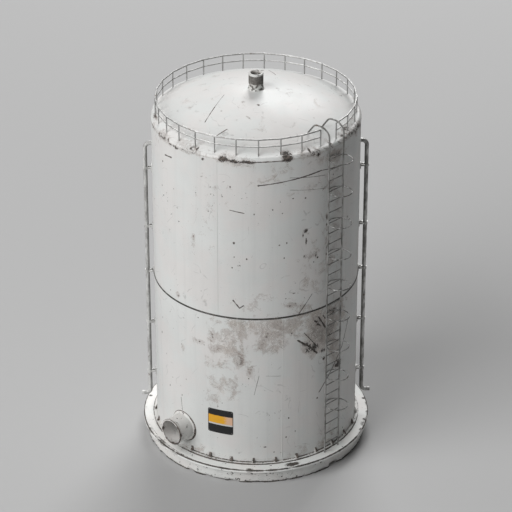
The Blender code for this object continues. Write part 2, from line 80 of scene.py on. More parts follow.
def drawn_piece(name, shape, finish=None, smooth=None):
    """An object from a drawn shape, smooth over edges that turn by no more than these degrees."""
    mesh = bpy.data.meshes.new(name)
    if smooth:
        bmesh.ops.recalc_face_normals(shape, faces=shape.faces)
    shape.to_mesh(mesh)
    shape.free()
    if smooth:
        mesh.shade_smooth()
        mesh.set_sharp_from_angle(angle=math.radians(smooth))
    if finish:
        mesh.materials.append(finish)
    return placed(name, mesh)


def outward(angle):
    """Unit vector away from the tank's axis: 0 is the nozzle's side and 90 the ladder's."""
    turn = math.radians(angle)
    return Vector((math.sin(turn), -math.cos(turn), 0.0))


def at(angle, radius, height):
    """The point at an angle round the tank, a distance from its axis and a height."""
    return outward(angle) * radius + Vector((0.0, 0.0, height))


def soft_lamp(name, azimuth, elevation, size, power):
    """A square soft lamp aimed at the tank, placed by its angles in degrees."""
    data = bpy.data.lights.new(name, "AREA")
    data.size = size
    data.energy = power
    climb = math.radians(elevation)
    toward = at(azimuth, math.cos(climb), math.sin(climb))
    lamp = placed(name, data)
    lamp.location = toward * LAMP_DISTANCE + LAMP_AIM
    lamp.rotation_euler = toward.to_track_quat("Z", "Y").to_euler()


floor_finish, tree, shader = new_finish("pale_floor")
shader["Base Color"].default_value = (0.5, 0.5, 0.5, 1.0)
shader["Roughness"].default_value = 0.9
shape = bmesh.new()
bmesh.ops.create_circle(shape, cap_ends=True, segments=96, radius=FLOOR_REACH)
studio_floor = drawn_piece("studio_floor", shape, floor_finish)

soft_lamp("key_lamp", -6.0, 34.0, 84.0, 94000.0)
soft_lamp("back_lamp", 214.0, 38.0, 50.0, 66000.0)
room_light = bpy.data.worlds.new("room_light")
room_light.use_nodes = True
sky = room_light.node_tree.nodes["Background"].inputs
sky["Color"].default_value = (0.8, 0.8, 0.8, 1.0)
sky["Strength"].default_value = 0.1
bpy.context.scene.world = room_light
bpy.context.scene.view_settings.view_transform = "Standard"

camera_data = bpy.data.cameras.new("camera")
camera_data.sensor_width = 36.0
camera_data.lens = 174.06
camera_data.clip_end = 600.0
camera = placed("camera", camera_data)
camera.location = (40.327, -40.046, 36.777)
camera.rotation_euler = [math.radians(turn) for turn in (60.9213, 0.0, 45.2)]
bpy.context.scene.camera = camera


# Plinth: the round concrete base that the tank stands on, cast in place with sides that lean out
# a little towards the top, then painted. Its lower edge and its sides have lost chips of concrete.

def evenly(low, high, step):
    """Values from low to high, about a step apart, both ends included."""
    count = max(1, round(abs(high - low) / step))
    return [low + (high - low) * i / count for i in range(count + 1)]


def all_round(step):
    """Angles for a full turn, a step apart."""
    return evenly(0.0, 360.0 - step, step)


def skin(shape, rows, full=False):
    """Covers closed rows of points with faces, and closes both ends unless the rows run full circle."""
    for here, after in zip(rows, rows[1:] + rows[:1] if full else rows[1:]):
        for i in range(len(here)):
            j = (i + 1) % len(here)
            shape.faces.new((here[i], here[j], after[j], after[i]))
    if not full:
        shape.faces.new(rows[0][::-1])
        shape.faces.new(rows[-1])


def turned_piece(name, profile, angles, finish, wear=None, full=True):
    """A closed profile of (radius, height) swept round the tank. Wear moves (angle, radius, height)."""
    shape = bmesh.new()
    rows = []
    for angle in angles:
        points = [wear(angle, *point) if wear else point for point in profile]
        rows.append([shape.verts.new(at(angle, *point)) for point in points])
    skin(shape, rows, full)
    bmesh.ops.remove_doubles(shape, verts=shape.verts, dist=0.00005)
    return drawn_piece(name, shape, finish, 35.0)


class Field:
    """What a shader node gives: a value, a place or a colour that changes over the surface.

    Sums and products of fields are Math nodes in the same tree, and | takes the larger of two.
    """

    def __init__(self, tree, socket):
        self.tree = tree
        self.socket = socket

    def beside(self, output):
        """Another output of the same node."""
        return Field(self.tree, self.socket.node.outputs[output])

    def feed(self, socket):
        self.tree.links.new(self.socket, socket)

    def maths(self, operation, second=0.0):
        return put(self.tree, "Math", {0: self, 1: second}, operation=operation)

    def vectors(self, operation, second=(0.0, 0.0, 0.0), third=(0.0, 0.0, 0.0)):
        """The same for places and colours. A length, distance or dot product is a plain value."""
        output = int(operation in ("LENGTH", "DISTANCE", "DOT_PRODUCT"))
        return put(self.tree, "VectorMath", {0: self, 1: second, 2: third}, output, operation=operation)

    def __add__(self, other):
        return self.maths("ADD", other)

    def __sub__(self, other):
        return self.maths("SUBTRACT", other)

    def __mul__(self, other):
        return self.maths("MULTIPLY", other)

    def __or__(self, other):
        return self.maths("MAXIMUM", other)

    def __abs__(self):
        return self.maths("ABSOLUTE")


def put(tree, kind, inputs, output=0, **settings):
    """One output of a new shader node, each of its inputs set or fed by a field."""
    made = tree.nodes.new("ShaderNode" + kind)
    for name, value in settings.items():
        setattr(made, name, value)
    for key, value in inputs.items():
        if isinstance(value, Field):
            value.feed(made.inputs[key])
        else:
            made.inputs[key].default_value = value
    return Field(tree, made.outputs[output])


def blend(share, under, over):
    """The colour over laid on the colour under, by its share."""
    return put(share.tree, "Mix", {0: share, 6: under, 7: over}, 2, data_type="RGBA")


def rise(value, low, high):
    """Goes smoothly from 0 at low to 1 at high."""
    ends = {"Value": value, "From Min": low, "From Max": high}
    return put(value.tree, "MapRange", ends, interpolation_type="SMOOTHSTEP")


def mottle(place, scale, detail, roughness, swirl=0.0):
    """Cloudy noise between 0 and 1. The scale is patches to a metre."""
    return put(place.tree, "TexNoise", {"Vector": place, "Scale": scale, "Detail": detail,
                                        "Roughness": roughness, "Distortion": swirl}, "Fac")


def surface(tree):
    """Where each point of the surface is, in metres."""
    return put(tree, "TexCoord", {}, "Object")


def split(place):
    """A place's three measures, each a field of its own."""
    first = put(place.tree, "SeparateXYZ", {0: place})
    return first, first.beside(1), first.beside(2)


def far(first, second):
    """The distance that two measures at right angles make."""
    return put(first.tree, "CombineXYZ", {0: first, 1: second}).vectors("LENGTH")


def shader_group(name, takes):
    """A node group for a coat, as fields of its named inputs and the sockets of its three outputs."""
    tree = bpy.data.node_groups.new(name, "ShaderNodeTree")
    for title, start in takes.items():
        kind = "NodeSocketColor" if isinstance(start, tuple) else "NodeSocketFloat"
        tree.interface.new_socket(title, in_out="INPUT", socket_type=kind).default_value = start
    for title, kind in (("Colour", "Color"), ("Roughness", "Float"), ("Height", "Float")):
        tree.interface.new_socket(title, in_out="OUTPUT", socket_type="NodeSocket" + kind)
    entry = tree.nodes.new("NodeGroupInput").outputs
    fields = {title: Field(tree, entry[title]) for title in takes}
    return tree, fields, tree.nodes.new("NodeGroupOutput").inputs


old_paint, takes, gives = shader_group("old paint", {
    "Paint": (0.73, 0.728, 0.72, 1.0),
    "Bare": (0.045, 0.04, 0.036, 1.0),
    "Rust": (0.19, 0.158, 0.138, 1.0),
    # the light colour of painted highlights on the edges of chips and creases
    "Edge Highlight": (0.86, 0.85, 0.83, 1.0),
    "Undercoat": (0.38, 0.335, 0.31, 1.0),
    "Grime Colour": (0.39, 0.315, 0.262, 1.0),
    "Marks": -1.0,
    "Grime": 0.0,
    "Loss": 0.0,
    "Streaks": 0.1,
})
place = surface(old_paint)
ragged = mottle(place, 10.0, 9.0, 0.78, 1.4) - 0.5
crowded = mottle(place, 3.0, 3.0, 0.6, 0.6) - 0.5
edge = ragged * 1.5 + (crowded * 1.3 + takes["Marks"])
specks = mottle(place, 9.0, 9.0, 0.7) + mottle(place, 0.8, 3.0, 0.5) * 0.35 + takes["Loss"] * 0.12
speckled = rise(specks, 0.895, 0.915)
flaked = rise(edge, 0.46, 0.54) | speckled
highlighted_edge = rise(edge, 0.38, 0.46) | rise(specks, 0.875, 0.895)
stretched = place.vectors("MULTIPLY", (7.0, 7.0, 0.2))
streaked = rise(mottle(stretched, 1.0, 6.0, 0.62), 0.46, 0.74)
clouded = rise(mottle(place, 0.55, 5.0, 0.58), 0.38, 0.66)
fine = mottle(place, 30.0, 5.0, 0.6)
shade = streaked * takes["Streaks"] + clouded * 0.05 + fine * 0.05
turned = rise(mottle(place, 0.9, 4.0, 0.6), 0.4, 0.6)
tint = blend(turned, (1.012, 0.996, 0.984, 1.0), (0.986, 1.004, 0.996, 1.0))
kept = takes["Paint"].vectors("MULTIPLY", tint).vectors("MULTIPLY", shade * -1.0 + 1.02)
patchy = mottle(place, 3.0, 7.0, 0.6, 0.8) - 0.5
soiled = rise(patchy * 2.0 + takes["Grime"], 0.16, 0.72)
kept = blend(soiled * 0.6, kept, takes["Grime Colour"])
sooty = rise(patchy * 1.1 + takes["Grime"], 0.62, 0.95)
kept = blend(sooty * 0.42, kept, takes["Bare"])
# painted shade and painted highlight: each crease in the stained paint is a dark line beside a light one
creases = mottle(place, 5.0, 7.0, 0.75, 1.2)
creased = rise(soiled, 0.02, 0.3)
for middle, share, over in ((0.5, 0.45, "Bare"), (0.53, 0.75, "Edge Highlight")):
    crease = rise(abs(creases - middle), 0.02, 0.006)
    kept = blend(crease * creased * share, kept, takes[over])
kept = blend(rise(edge, 0.25, 0.32) * 0.4, kept, takes["Undercoat"])
# painted highlight: a light rim round each chip
kept = blend(highlighted_edge * 0.35, kept, takes["Edge Highlight"])
near_line = abs(mottle(place, 1.2, 1.5, 0.5) - 0.5)
broken = rise(mottle(place, 3.1, 3.0, 0.6), 0.52, 0.6)
pricked = rise(mottle(place, 20.0, 4.0, 0.7), 0.665, 0.72)
faint = (rise(near_line, 0.007, 0.001) * broken | pricked) * 0.22
kept = blend(faint, kept, takes["Bare"])
rusted = rise(mottle(place, 18.0, 5.0, 0.65), 0.42, 0.6) * rise(edge, 0.48, 0.66)
bare = blend(rusted, takes["Bare"], takes["Rust"])
bare = blend(rise(takes["Marks"], 0.34, 0.5) | speckled, takes["Undercoat"], bare)
blend(flaked, kept, bare).feed(gives["Colour"])
(flaked * 0.35 + (fine * 0.16 + (clouded * 0.08 + 0.36))).feed(gives["Roughness"])
(fine * 0.15 - flaked).feed(gives["Height"])


def lay(colour, coat, shader, film):
    """Feeds a material's shader with a colour, and with a coat's roughness and relief."""
    colour.feed(shader["Base Color"])
    coat.beside("Roughness").feed(shader["Roughness"])
    put(coat.tree, "Bump", {"Height": coat.beside("Height"), "Distance": film}).feed(shader["Normal"])


def painted(name, colours, loss, streaks=0.1, marks=None, grime=None, film=0.0015):
    """A material of old paint. Marks and grime each build a field of where they lie, from the places."""
    made, tree, shader = new_finish(name)
    inputs = {**colours, "Loss": loss, "Streaks": streaks}
    if marks:
        inputs["Marks"] = marks(surface(tree))
    if grime:
        inputs["Grime"] = grime(surface(tree))
    coat = put(tree, "Group", inputs, "Colour", node_tree=old_paint)
    lay(coat, coat, shader, film)
    return made


def ring_band(place, radius, height, reach):
    """A field that is 1 on a circle round the tank, a half at the reach from it and less outside."""
    x, y, z = split(place)
    return far(far(x, y) - radius, z - height) * (-0.5 / reach) + 1.0


def uneven(angle, scale, level):
    """Smooth noise round the tank, between about -1 and 1. A larger scale gives smaller waves."""
    here = outward(angle) * scale
    return noise.noise(Vector((here.x, here.y, level)))


def apart(angle, middle):
    """The turn from one angle to another, between -180 and 180 degrees."""
    return (angle - middle + 180.0) % 360.0 - 180.0


PLINTH_HEIGHT = 0.455
COPING_UNDERSIDE = 0.375
COPING_INNER = 2.45
PLINTH_NECK = 2.965
PLINTH_FOOT = 2.935
CHIPPED_BELOW = 0.07
CLEARANCE = 0.0003
CONCRETE_FILM = 0.004
# the concrete's paint is paler than the shell's, as painted light against the shade under the coping
CONCRETE = {"Paint": (0.78, 0.775, 0.76, 1.0), "Bare": (0.045, 0.042, 0.038, 1.0),
            "Undercoat": (0.27, 0.26, 0.245, 1.0), "Rust": (0.13, 0.115, 0.1, 1.0)}
BITES = (
    (89.7, 3.6, 0.12, 0.16), (-12, 2.5, 0.04, 0.06), (24, 5, 0.03, 0.05), (46, 3, 0.03, 0.045),
    (152, 3.5, 0.07, 0.09), (203, 5, 0.06, 0.1), (262, 4, 0.05, 0.07), (306, 3, 0.08, 0.08),
)


def chipped_plinth(angle, radius, height):
    """Takes bites out of the plinth's lower edge and dents its side."""
    if not radius:
        return radius, height
    bite = uneven(angle, 9.145, 4.0) + 0.5 * uneven(angle, 26.55, 8.0)
    loss = max(0.0, bite - 0.12) * 0.14 * max(0.0, 1.0 - height / CHIPPED_BELOW)
    for middle, half, depth, tall in BITES:
        off = abs(apart(angle, middle)) / half + 0.3 * bite
        loss = max(loss, depth * min(1.0, max(0.0, 4.0 - 4.0 * off)) * max(0.0, 1.0 - height / tall))
    dent = max(0.0, uneven(angle, 14.75, height * 9.0) - 0.35) * 0.02
    return radius - loss - dent * (height > 0.0), height


plinth_profile = [(0.0, PLINTH_HEIGHT), (COPING_INNER, PLINTH_HEIGHT), (COPING_INNER, COPING_UNDERSIDE)]
plinth_profile += [(PLINTH_NECK + (PLINTH_FOOT - PLINTH_NECK) * (1.0 - height / COPING_UNDERSIDE), height)
                   for height in evenly(COPING_UNDERSIDE, 0.0, 0.03)] + [(0.0, 0.0)]
plinth_finish = painted("plinth_paint_chipped", CONCRETE, 0.95, 0.08, film=CONCRETE_FILM,
                        marks=lambda place: ring_band(place, PLINTH_FOOT, 0.0, 0.04))
plinth_body = turned_piece("plinth_body", plinth_profile, all_round(0.6), plinth_finish, chipped_plinth)
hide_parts("plinth")
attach(plinth_body, "root")


# Coping: the slab edge that stands out over the plinth's sides, with a small bevel. Its rim has
# been knocked: long stretches of the bevel are worn away and one piece is missing.

COPING_RADIUS = 3.047
BEVEL = 0.025
PLATE_EDGE = 2.772
WORN_IN = 0.1
WORN_DOWN = 0.11
BROKEN = (
    (112, 5, 0.022), (-16, 7, 0.016), (-1, 3.5, 0.022), (63, 3, 0.02), (124, 6, 0.018), (172, 3, 0.035),
    (231, 5, 0.022), (287, 4, 0.03),
)
COPING_CHIPS = (
    (144.6, 2.98, 50, 50, 60), (139, 3.01, 100, 30, 60), (131.5, 3.01, 120, 35, 60),
    (124.5, 2.99, 100, 55, 57), (120, 2.97, 120, 60, 58), (115, 2.99, 80, 35, 58),
    # the wide grey patches from -24 to -2 degrees are wear and painted shade on the rim's bevel, with narrow
    # dark lines inside them
    (64.2, 2.905, 210, 80, 78), (42, 3, 100, 50, 54), (-24, 3.01, 300, 60, 46), (-13, 3.01, 340, 60, 45),
    (-2, 3.015, 340, 50, 42), (-22, 2.955, 240, 14, 66), (-12, 2.965, 240, 13, 62), (-3, 2.972, 280, 12, 60),
    (6, 3, 240, 20, 60), (-45, 3, 100, 30, 58), (-57, 2.96, 50, 60, 62), (-100, 3.01, 140, 40, 62),
    (-129, 2.99, 120, 50, 64), (172, 3, 150, 50, 70),
)


def chipped_coping(angle, radius, height):
    """Wears the coping's upper rim back, most of all at the broken places."""
    rough = uneven(angle, 12.0, 1.0) + 0.6 * uneven(angle, 39.0, 2.0)
    loss = 0.006 + max(0.0, rough) * 0.016
    for middle, half, depth in BROKEN:
        off = abs(apart(angle, middle)) / half
        loss = max(loss, depth * (1.0 + 0.5 * rough) * min(1.0, max(0.0, 1.6 - 1.3 * off)))
    slip = loss * max(0.0, 1.0 - (COPING_RADIUS - radius) / WORN_IN) * max(
        0.0, 1.0 - (PLINTH_HEIGHT - height) / WORN_DOWN)
    return radius - slip, height - slip * 0.8 * (height > COPING_UNDERSIDE + 0.002)


def patches(place, listed):
    """A field that is 1 in the middle of each patch and a half at its edge.

    A patch is where it is across and up in metres, then half its width and height in millimetres. A fifth
    number is the field's height in the middle, in hundredths: about 50 or less leaves scattered flecks.
    """
    nearest = None
    for across, up, wide, high, *most in listed:
        wide, high = wide / 1000, high / 1000
        off = place.vectors("MULTIPLY_ADD", (1.0 / wide, 0.0, 1.0 / high), (across / -wide, 0.0, up / -high))
        off = off.vectors("LENGTH")
        if most:
            top = most[0] / 100
            off = off * off * top + (2.0 - 2.0 * top)
        nearest = off if nearest is None else nearest.maths("MINIMUM", off)
    return nearest * -0.5 + 1.0


def flat(across, up):
    """A place on a flat sheet, for patches and scratches."""
    return put(across.tree, "CombineXYZ", {"X": across, "Z": up})


def turn_round(x, y):
    """The turn round the tank in radians, from the nozzle's line."""
    return x.maths("ARCTAN2", y * -1.0)


def along_ring(place, listed):
    """Patches laid along the coping, each placed by its angle and distance from the axis."""
    x, y, z = split(place)
    ring = flat(turn_round(x, y) * COPING_RADIUS, far(x, y))
    return patches(ring, [(math.radians(angle) * COPING_RADIUS, *spot) for angle, *spot in listed])


def front_right_share(place, least, most):
    """Rises past the nozzle, towards the ladder's side, and falls again past the ladder."""
    x, y, z = split(place)
    return rise(x, -0.5, 0.7) * rise(y, 1.5, 0.5) * (most - least) + least


def coping_wear_and_shade(place):
    """A dark line along the rim, a line of dirt and painted shadow along the steel plate's edge, and chips
    near the rim, the wide grey ones at the front partly painted shade.
    """
    # painted shadow with dirt: a dark line on the coping beside the steel plate's edge
    plate_edge_dirt_and_shadow = ring_band(place, PLATE_EDGE, PLINTH_HEIGHT, 0.012) * front_right_share(place, 0.7, 1.0)
    rim_line = ring_band(place, COPING_RADIUS - 0.01, PLINTH_HEIGHT - 0.011, 0.021) * 1.3 - 0.15
    return rim_line | plate_edge_dirt_and_shadow | along_ring(place, COPING_CHIPS)


coping_profile = [(COPING_INNER + CLEARANCE, PLINTH_HEIGHT)]
coping_profile += [(radius, PLINTH_HEIGHT) for radius in evenly(2.7, COPING_RADIUS - BEVEL, 0.032)]
coping_profile += [(COPING_RADIUS - BEVEL * 0.3, PLINTH_HEIGHT - BEVEL * 0.3)]
coping_profile += [(COPING_RADIUS, height)
                   for height in evenly(PLINTH_HEIGHT - BEVEL, COPING_UNDERSIDE + CLEARANCE, 0.014)]
coping_profile += [(COPING_INNER + CLEARANCE, COPING_UNDERSIDE + CLEARANCE)]
# the coping's paint is paler still, as painted light on its top
coping_finish = painted("coping_paint_chipped", {**CONCRETE, "Paint": (0.89, 0.885, 0.87, 1.0)}, 0.6, 0.04,
                        marks=coping_wear_and_shade, film=CONCRETE_FILM)
coping_ring = turned_piece("coping_ring", coping_profile, all_round(0.5), coping_finish, chipped_coping)
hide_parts("plinth_coping")
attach(coping_ring, "root")


# Bottom plate: the steel disc under the shell, welded to it all round, with small triangular
# gussets standing on its edge. Water lies on it, so its edge and the weld have rusted, and painted
# shade darkens them and the gussets' right sides.

WALL_RADIUS = 2.68
PLATE_TOP = 0.4753
GUSSETS = 29
GUSSET_START = 6.4


def dress(name, finish):
    """Gives one of the solids its finish."""
    for slot in PARTS[name].material_slots:
        slot.material = finish


def ledge_rust_and_shade(place):
    """Rust on the gussets, with painted shade on their right sides, and rust with painted shade along the
    weld and the plate's edge.
    """
    x, y, z = split(place)
    step = 2.0 * math.pi / GUSSETS
    across = turn_round(x, y) * (1.0 / step) + (0.5 - math.radians(GUSSET_START) / step)
    across = across.maths("FRACT") - 0.5
    # painted shade: the right side of each gusset is darker than its left
    gusset_rust_and_shade = rise(z, PLATE_TOP + 0.004, PLATE_TOP + 0.012) * (rise(across, -0.03, 0.015) * 0.4 + 0.46)
    # the lines at the weld and at the plate's edge are rust and painted shade in the corner and under the
    # edge
    weld_rust_and_shade = ring_band(place, WALL_RADIUS, PLATE_TOP, 0.015) * front_right_share(place, 0.0, 1.0)
    edge_rust_and_shadow = ring_band(place, PLATE_EDGE, PLATE_TOP - 0.008, 0.016) * front_right_share(place, 0.68, 1.0)
    return gusset_rust_and_shade | weld_rust_and_shade | edge_rust_and_shadow


def profile_from(radius, height, *steps):
    """Points of a profile, each by its steps out and up, in millimetres, from a radius and a height."""
    return [(radius + out / 1000, height + up / 1000) for out, up in steps]


def weld_ripple(angle, radius, height):
    """Gives a weld its uneven surface."""
    lift = 1.0 + 0.25 * uneven(angle, 30.0, height * 3.0)
    return WALL_RADIUS + (radius - WALL_RADIUS) * lift, height


plate_finish = painted("ledge_paint_rusted_shaded", {"Paint": (0.76, 0.755, 0.74, 1.0)}, 0.7, marks=ledge_rust_and_shade)
dress("bottom_plate", plate_finish)
weld_finish = painted("weld_rusted", {"Paint": (0.72, 0.71, 0.69, 1.0)}, 0.8,
                      marks=lambda place: front_right_share(place, 0.15, 0.62))
foot_weld = turned_piece(
    "foot_weld", profile_from(WALL_RADIUS, PLATE_TOP, (0.6, 20), (9, 13), (18, 6), (24, 0.2), (0.6, 0.2)),
    all_round(1.0), weld_finish, weld_ripple)
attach(foot_weld, "root")


# Lower course of the shell: three steel plates rolled to the tank's radius and butt welded along
# upright joints. The old white paint has chips, scratches, a brown stain and one deep gouge.

JOINT_GAP = 0.0015
HALF_GAP = math.degrees(JOINT_GAP / WALL_RADIUS) / 2
PLATE_THICKNESS = 0.01
SEAM_HEIGHT = 4.822
LOWER_JOINT = 60.0
NOZZLE_HEIGHT = 1.11
NOZZLE_RADIUS = 0.345
NOZZLE_PLACE = Matrix.Translation((0.0, -WALL_RADIUS, NOZZLE_HEIGHT)) @ Matrix.Rotation(math.pi / 2, 4, "X")
WALL_COLOURS = {"Rust": (0.12, 0.104, 0.094, 1.0)}
WALL_LOSS = 0.35
WALL_STREAKS = 0.045
THIRD = 120.0
LOWER_SPOTS = [(*chip, 58) for chip in (
    (-20.2, 3.97, 22, 19), (-9.8, 4.44, 15, 28), (1.2, 4.42, 19, 15), (11.7, 4.61, 22, 12),
    (-21.5, 3.48, 22, 37), (-0.8, 3.6, 25, 31), (0.8, 3.45, 15, 25), (12.5, 3.91, 28, 25),
    (15.4, 3.85, 19, 15), (-15.8, 2.97, 19, 34), (-9.6, 2.39, 15, 19), (2.4, 2.59, 19, 15),
    (-12.4, 2.08, 19, 31), (-2.2, 2.3, 25, 15), (-1.1, 2.03, 15, 31), (23.4, 2.09, 19, 15),
)] + [
    (26.1, 2.21, 15, 15), (41.2, 3.05, 15, 19), (81.8, 2.13, 19, 19), (63.7, 1.76, 19, 22),
    (62.3, 1.18, 15, 19), (67.7, 1.31, 15, 15), (50.3, 0.94, 37, 22), (55.4, 0.76, 19, 22),
    (59.2, 0.72, 19, 15), (65.1, 4.31, 19, 15), (86.5, 3.27, 19, 22), (90.1, 3.92, 22, 19),
    (98.8, 2.86, 160, 120, 80), (83.5, 4.41, 260, 250, 48), (50, 4.28, 380, 380, 42),
    (36, 3.56, 190, 340, 43), (34, 3, 300, 700, 20), (60, 4.66, 900, 130, 34), (33, 4.35, 500, 260, 28),
    (76.5, 3.8, 260, 240, 36), (74, 3.9, 180, 100, 56), (77.8, 3.72, 280, 190, 60),
    (20.5, 2.35, 200, 260, 22), (11, 3.9, 180, 110, 33), (0, 3.52, 70, 130, 38), (94, 3.6, 200, 400, 33),
    (90, 0.7, 900, 180, 24), (10, 0.55, 1200, 80, 24), (60, 0.55, 1000, 80, 24), (20.3, 4.17, 140, 190, 42),
    (20.5, 3.78, 140, 160, 34), (26.4, 4.62, 250, 100, 34), (29.5, 4.4, 160, 160, 32),
    (24.5, 3.85, 100, 180, 32), (42, 3.22, 140, 180, 33), (20.8, 3, 140, 200, 35), (58, 4.45, 250, 180, 36),
    (96, 4.5, 330, 260, 50), (90.5, 4.62, 350, 100, 46), (85.6, 3.52, 100, 80, 56), (86.2, 3.27, 50, 60, 62),
    (150, 3.4, 31, 37), (158, 2.1, 25, 31), (-60, 3.8, 25, 37), (-75, 2.2, 37, 31), (-98, 4.1, 31, 25),
    (-120, 1.6, 43, 60), (-140, 3.3, 51, 68), (-158, 2.6, 28, 31), (127, 1.2, 37, 31),
]
LOWER_SCRATCHES = (
    (68.7, 4.06, 74.6, 3.85, 22), (74.6, 3.85, 81.3, 3.51, 26), (71, 3.95, 79, 3.7, 10),
    (72.6, 4.24, 81.2, 3.72, 12), (83.1, 2.29, 102.3, 3.32, 13), (82.1, 4.57, 86.9, 4.19, 24),
    (79.3, 4.5, 81, 4.44, 26), (85.4, 4.56, 86.6, 4.46, 24), (81.4, 4.38, 83, 4.32, 22),
    (93.5, 4.62, 96, 4.58, 18), (102.3, 3.32, 109, 3.98, 12), (50.8, 3.12, 59.2, 3.08, 4),
    (44.2, 2.55, 46.9, 3.13, 4), (-2, 1.95, -1, 1.57, 6), (-110, 2.7, -92, 3.3, 10),
    (140, 2.6, 152, 1.9, 10),
)
LOWER_STAINS = (
    (46, 4.55, 1000, 280, 58), (54, 4.32, 480, 420, 56), (31, 3.95, 400, 650, 40), (36.5, 3.5, 220, 320, 42),
    (26, 3.05, 380, 800, 43), (71, 4.5, 520, 360, 62), (79.5, 3.75, 360, 340, 64), (81.5, 4.2, 420, 680, 90),
    (91, 4.15, 400, 620, 84), (100, 4.45, 400, 450, 52), (96, 3.2, 360, 600, 50), (-70, 4.2, 600, 600, 46),
    (-135, 3.9, 800, 800, 45), (150, 4.2, 700, 500, 52), (93, 0.75, 600, 300, 24), (4, 0.6, 600, 160, 30),
)
DENTS = (
    (76, 3.8, 0.3, 0.2, 0.012), (99.5, 2.81, 0.16, 0.2, 0.008), (-128, 2.4, 0.3, 0.35, 0.012),
    (73.2, 7.2, 0.12, 0.12, 0.006), (-95, 6.6, 0.35, 0.3, 0.01), (152, 6.2, 0.3, 0.4, 0.01),
)


def round_wall(angle):
    """Metres round the shell from the nozzle's line."""
    return math.radians(angle) * WALL_RADIUS


def unrolled(place):
    """The shell rolled out flat: metres round it from the nozzle's line, and height."""
    x, y, z = split(place)
    return flat(turn_round(x, y) * WALL_RADIUS, z)


def spots(place, listed):
    """Patches on the shell, each placed by its angle and height."""
    return patches(unrolled(place), [(round_wall(angle), *spot) for angle, *spot in listed])


def scratches(sheet, listed):
    """The same field along lines, each from one place to another, then half its width in millimetres."""
    nearest = None
    for across, up, last_across, last_up, half in listed:
        first = Vector((across, 0.0, up))
        run = Vector((last_across, 0.0, last_up)) - first
        off = sheet.vectors("SUBTRACT", first)
        share = off.vectors("DOT_PRODUCT", run / run.length_squared)
        share = put(share.tree, "Math", {0: share, 1: 0.0}, operation="ADD", use_clamp=True)
        off = off.vectors("DISTANCE", share.vectors("MULTIPLY", run)) * (1000 / half)
        nearest = off if nearest is None else nearest.maths("MINIMUM", off)
    return nearest * -0.5 + 1.0


def wall_marks(place, spot_list, scratch_list):
    """Spots and scratches on the shell, each placed by angle and height."""
    lines = [(round_wall(angle), up, round_wall(last), last_up, half)
             for angle, up, last, last_up, half in scratch_list]
    return spots(place, spot_list) | scratches(unrolled(place), lines)


def dented(angle, radius, height):
    """Rolled plate is never quite round, and it is pushed in where something has hit it."""
    move = 0.0015 * (uneven(angle, 2.0, height * 0.8) - 0.5)
    for middle, level, wide, high, depth in DENTS:
        across = round_wall(apart(angle, middle)) / wide
        move -= depth * math.exp(-across * across - ((height - level) / high) ** 2)
    return radius + move, height


def wall_plate(name, start, low, high, finish):
    """One rolled plate, a third of the way round, between two heights."""
    inner = WALL_RADIUS - PLATE_THICKNESS
    profile = [(WALL_RADIUS - 0.002, high)]
    profile += [(WALL_RADIUS, height) for height in evenly(high - 0.002, low + 0.002, 0.09)]
    profile += [(WALL_RADIUS - 0.002, low), (inner, low), (inner, high)]
    return turned_piece(name, profile, evenly(start + HALF_GAP, start + THIRD - HALF_GAP, 1.0), finish,
                        dented, full=False)


def upright_weld(name, angle, low, high, finish):
    """A flat weld bead down the joint between two plates."""
    shape = bmesh.new()
    across = outward(angle + 90.0)
    rows = []
    for height in evenly(low, high, 0.012):
        puff = 0.0035 * (1.0 + 0.3 * noise.noise(Vector((angle, 0.0, height * 60.0))))
        centre = at(angle, WALL_RADIUS - 0.0006, height)
        rows.append([shape.verts.new(centre + across * x * 0.009 + outward(angle) * lift * puff)
                     for x, lift in ((-1.0, 0.0), (-0.6, 0.75), (0.0, 1.0), (0.6, 0.75), (1.0, 0.0))])
    skin(shape, rows)
    return drawn_piece(name, shape, finish, 180.0)


def cut_round_hole(piece, radius):
    """Cuts the nozzle's hole through a plate."""
    shape = bmesh.new()
    bmesh.ops.create_cone(shape, cap_ends=True, segments=96, radius1=radius, radius2=radius, depth=1.0,
                          matrix=NOZZLE_PLACE)
    hole = drawn_piece("hole", shape)
    cut = piece.modifiers.new("hole", "BOOLEAN")
    cut.solver = "EXACT"
    cut.object = hole
    bpy.context.view_layer.update()
    cut_mesh = bpy.data.meshes.new_from_object(piece.evaluated_get(bpy.context.evaluated_depsgraph_get()))
    piece.modifiers.clear()
    piece.data = cut_mesh
    PARTS.remove(hole, do_unlink=True)


lower_finish = painted("lower_wall_paint", WALL_COLOURS, WALL_LOSS, WALL_STREAKS,
                       marks=lambda place: wall_marks(place, LOWER_SPOTS, LOWER_SCRATCHES),
                       grime=lambda place: spots(place, LOWER_STAINS))
for number in range(3):
    start = LOWER_JOINT + THIRD * number
    plate = wall_plate(f"lower_wall_{number + 1}", start, PLATE_TOP + CLEARANCE, SEAM_HEIGHT - CLEARANCE,
                       lower_finish)
    if number == 2:
        cut_round_hole(plate, NOZZLE_RADIUS + CLEARANCE)
    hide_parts(f"lower_shell_plate_{number + 1}")
    bead = upright_weld(f"lower_wall_weld_{number + 1}", start, PLATE_TOP + 0.025, SEAM_HEIGHT - 0.03,
                        lower_finish)
    for piece in (plate, bead):
        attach(piece, "root")


# Girth seam: the lap where the two courses meet, a low band of weld and plate edge that runs all
# round the tank. Dirt and rust have gathered on it, and it is painted near black as the shade under
# the lap too, so it reads as a dark line.

def seam_ripple(angle, radius, height):
    """Lets the lap stand out a little less in some places than in others."""
    less = 0.12 + 0.12 * uneven(angle, 18.0, height * 12.0)
    return radius - max(0.0, radius - WALL_RADIUS - 0.001) * less, height


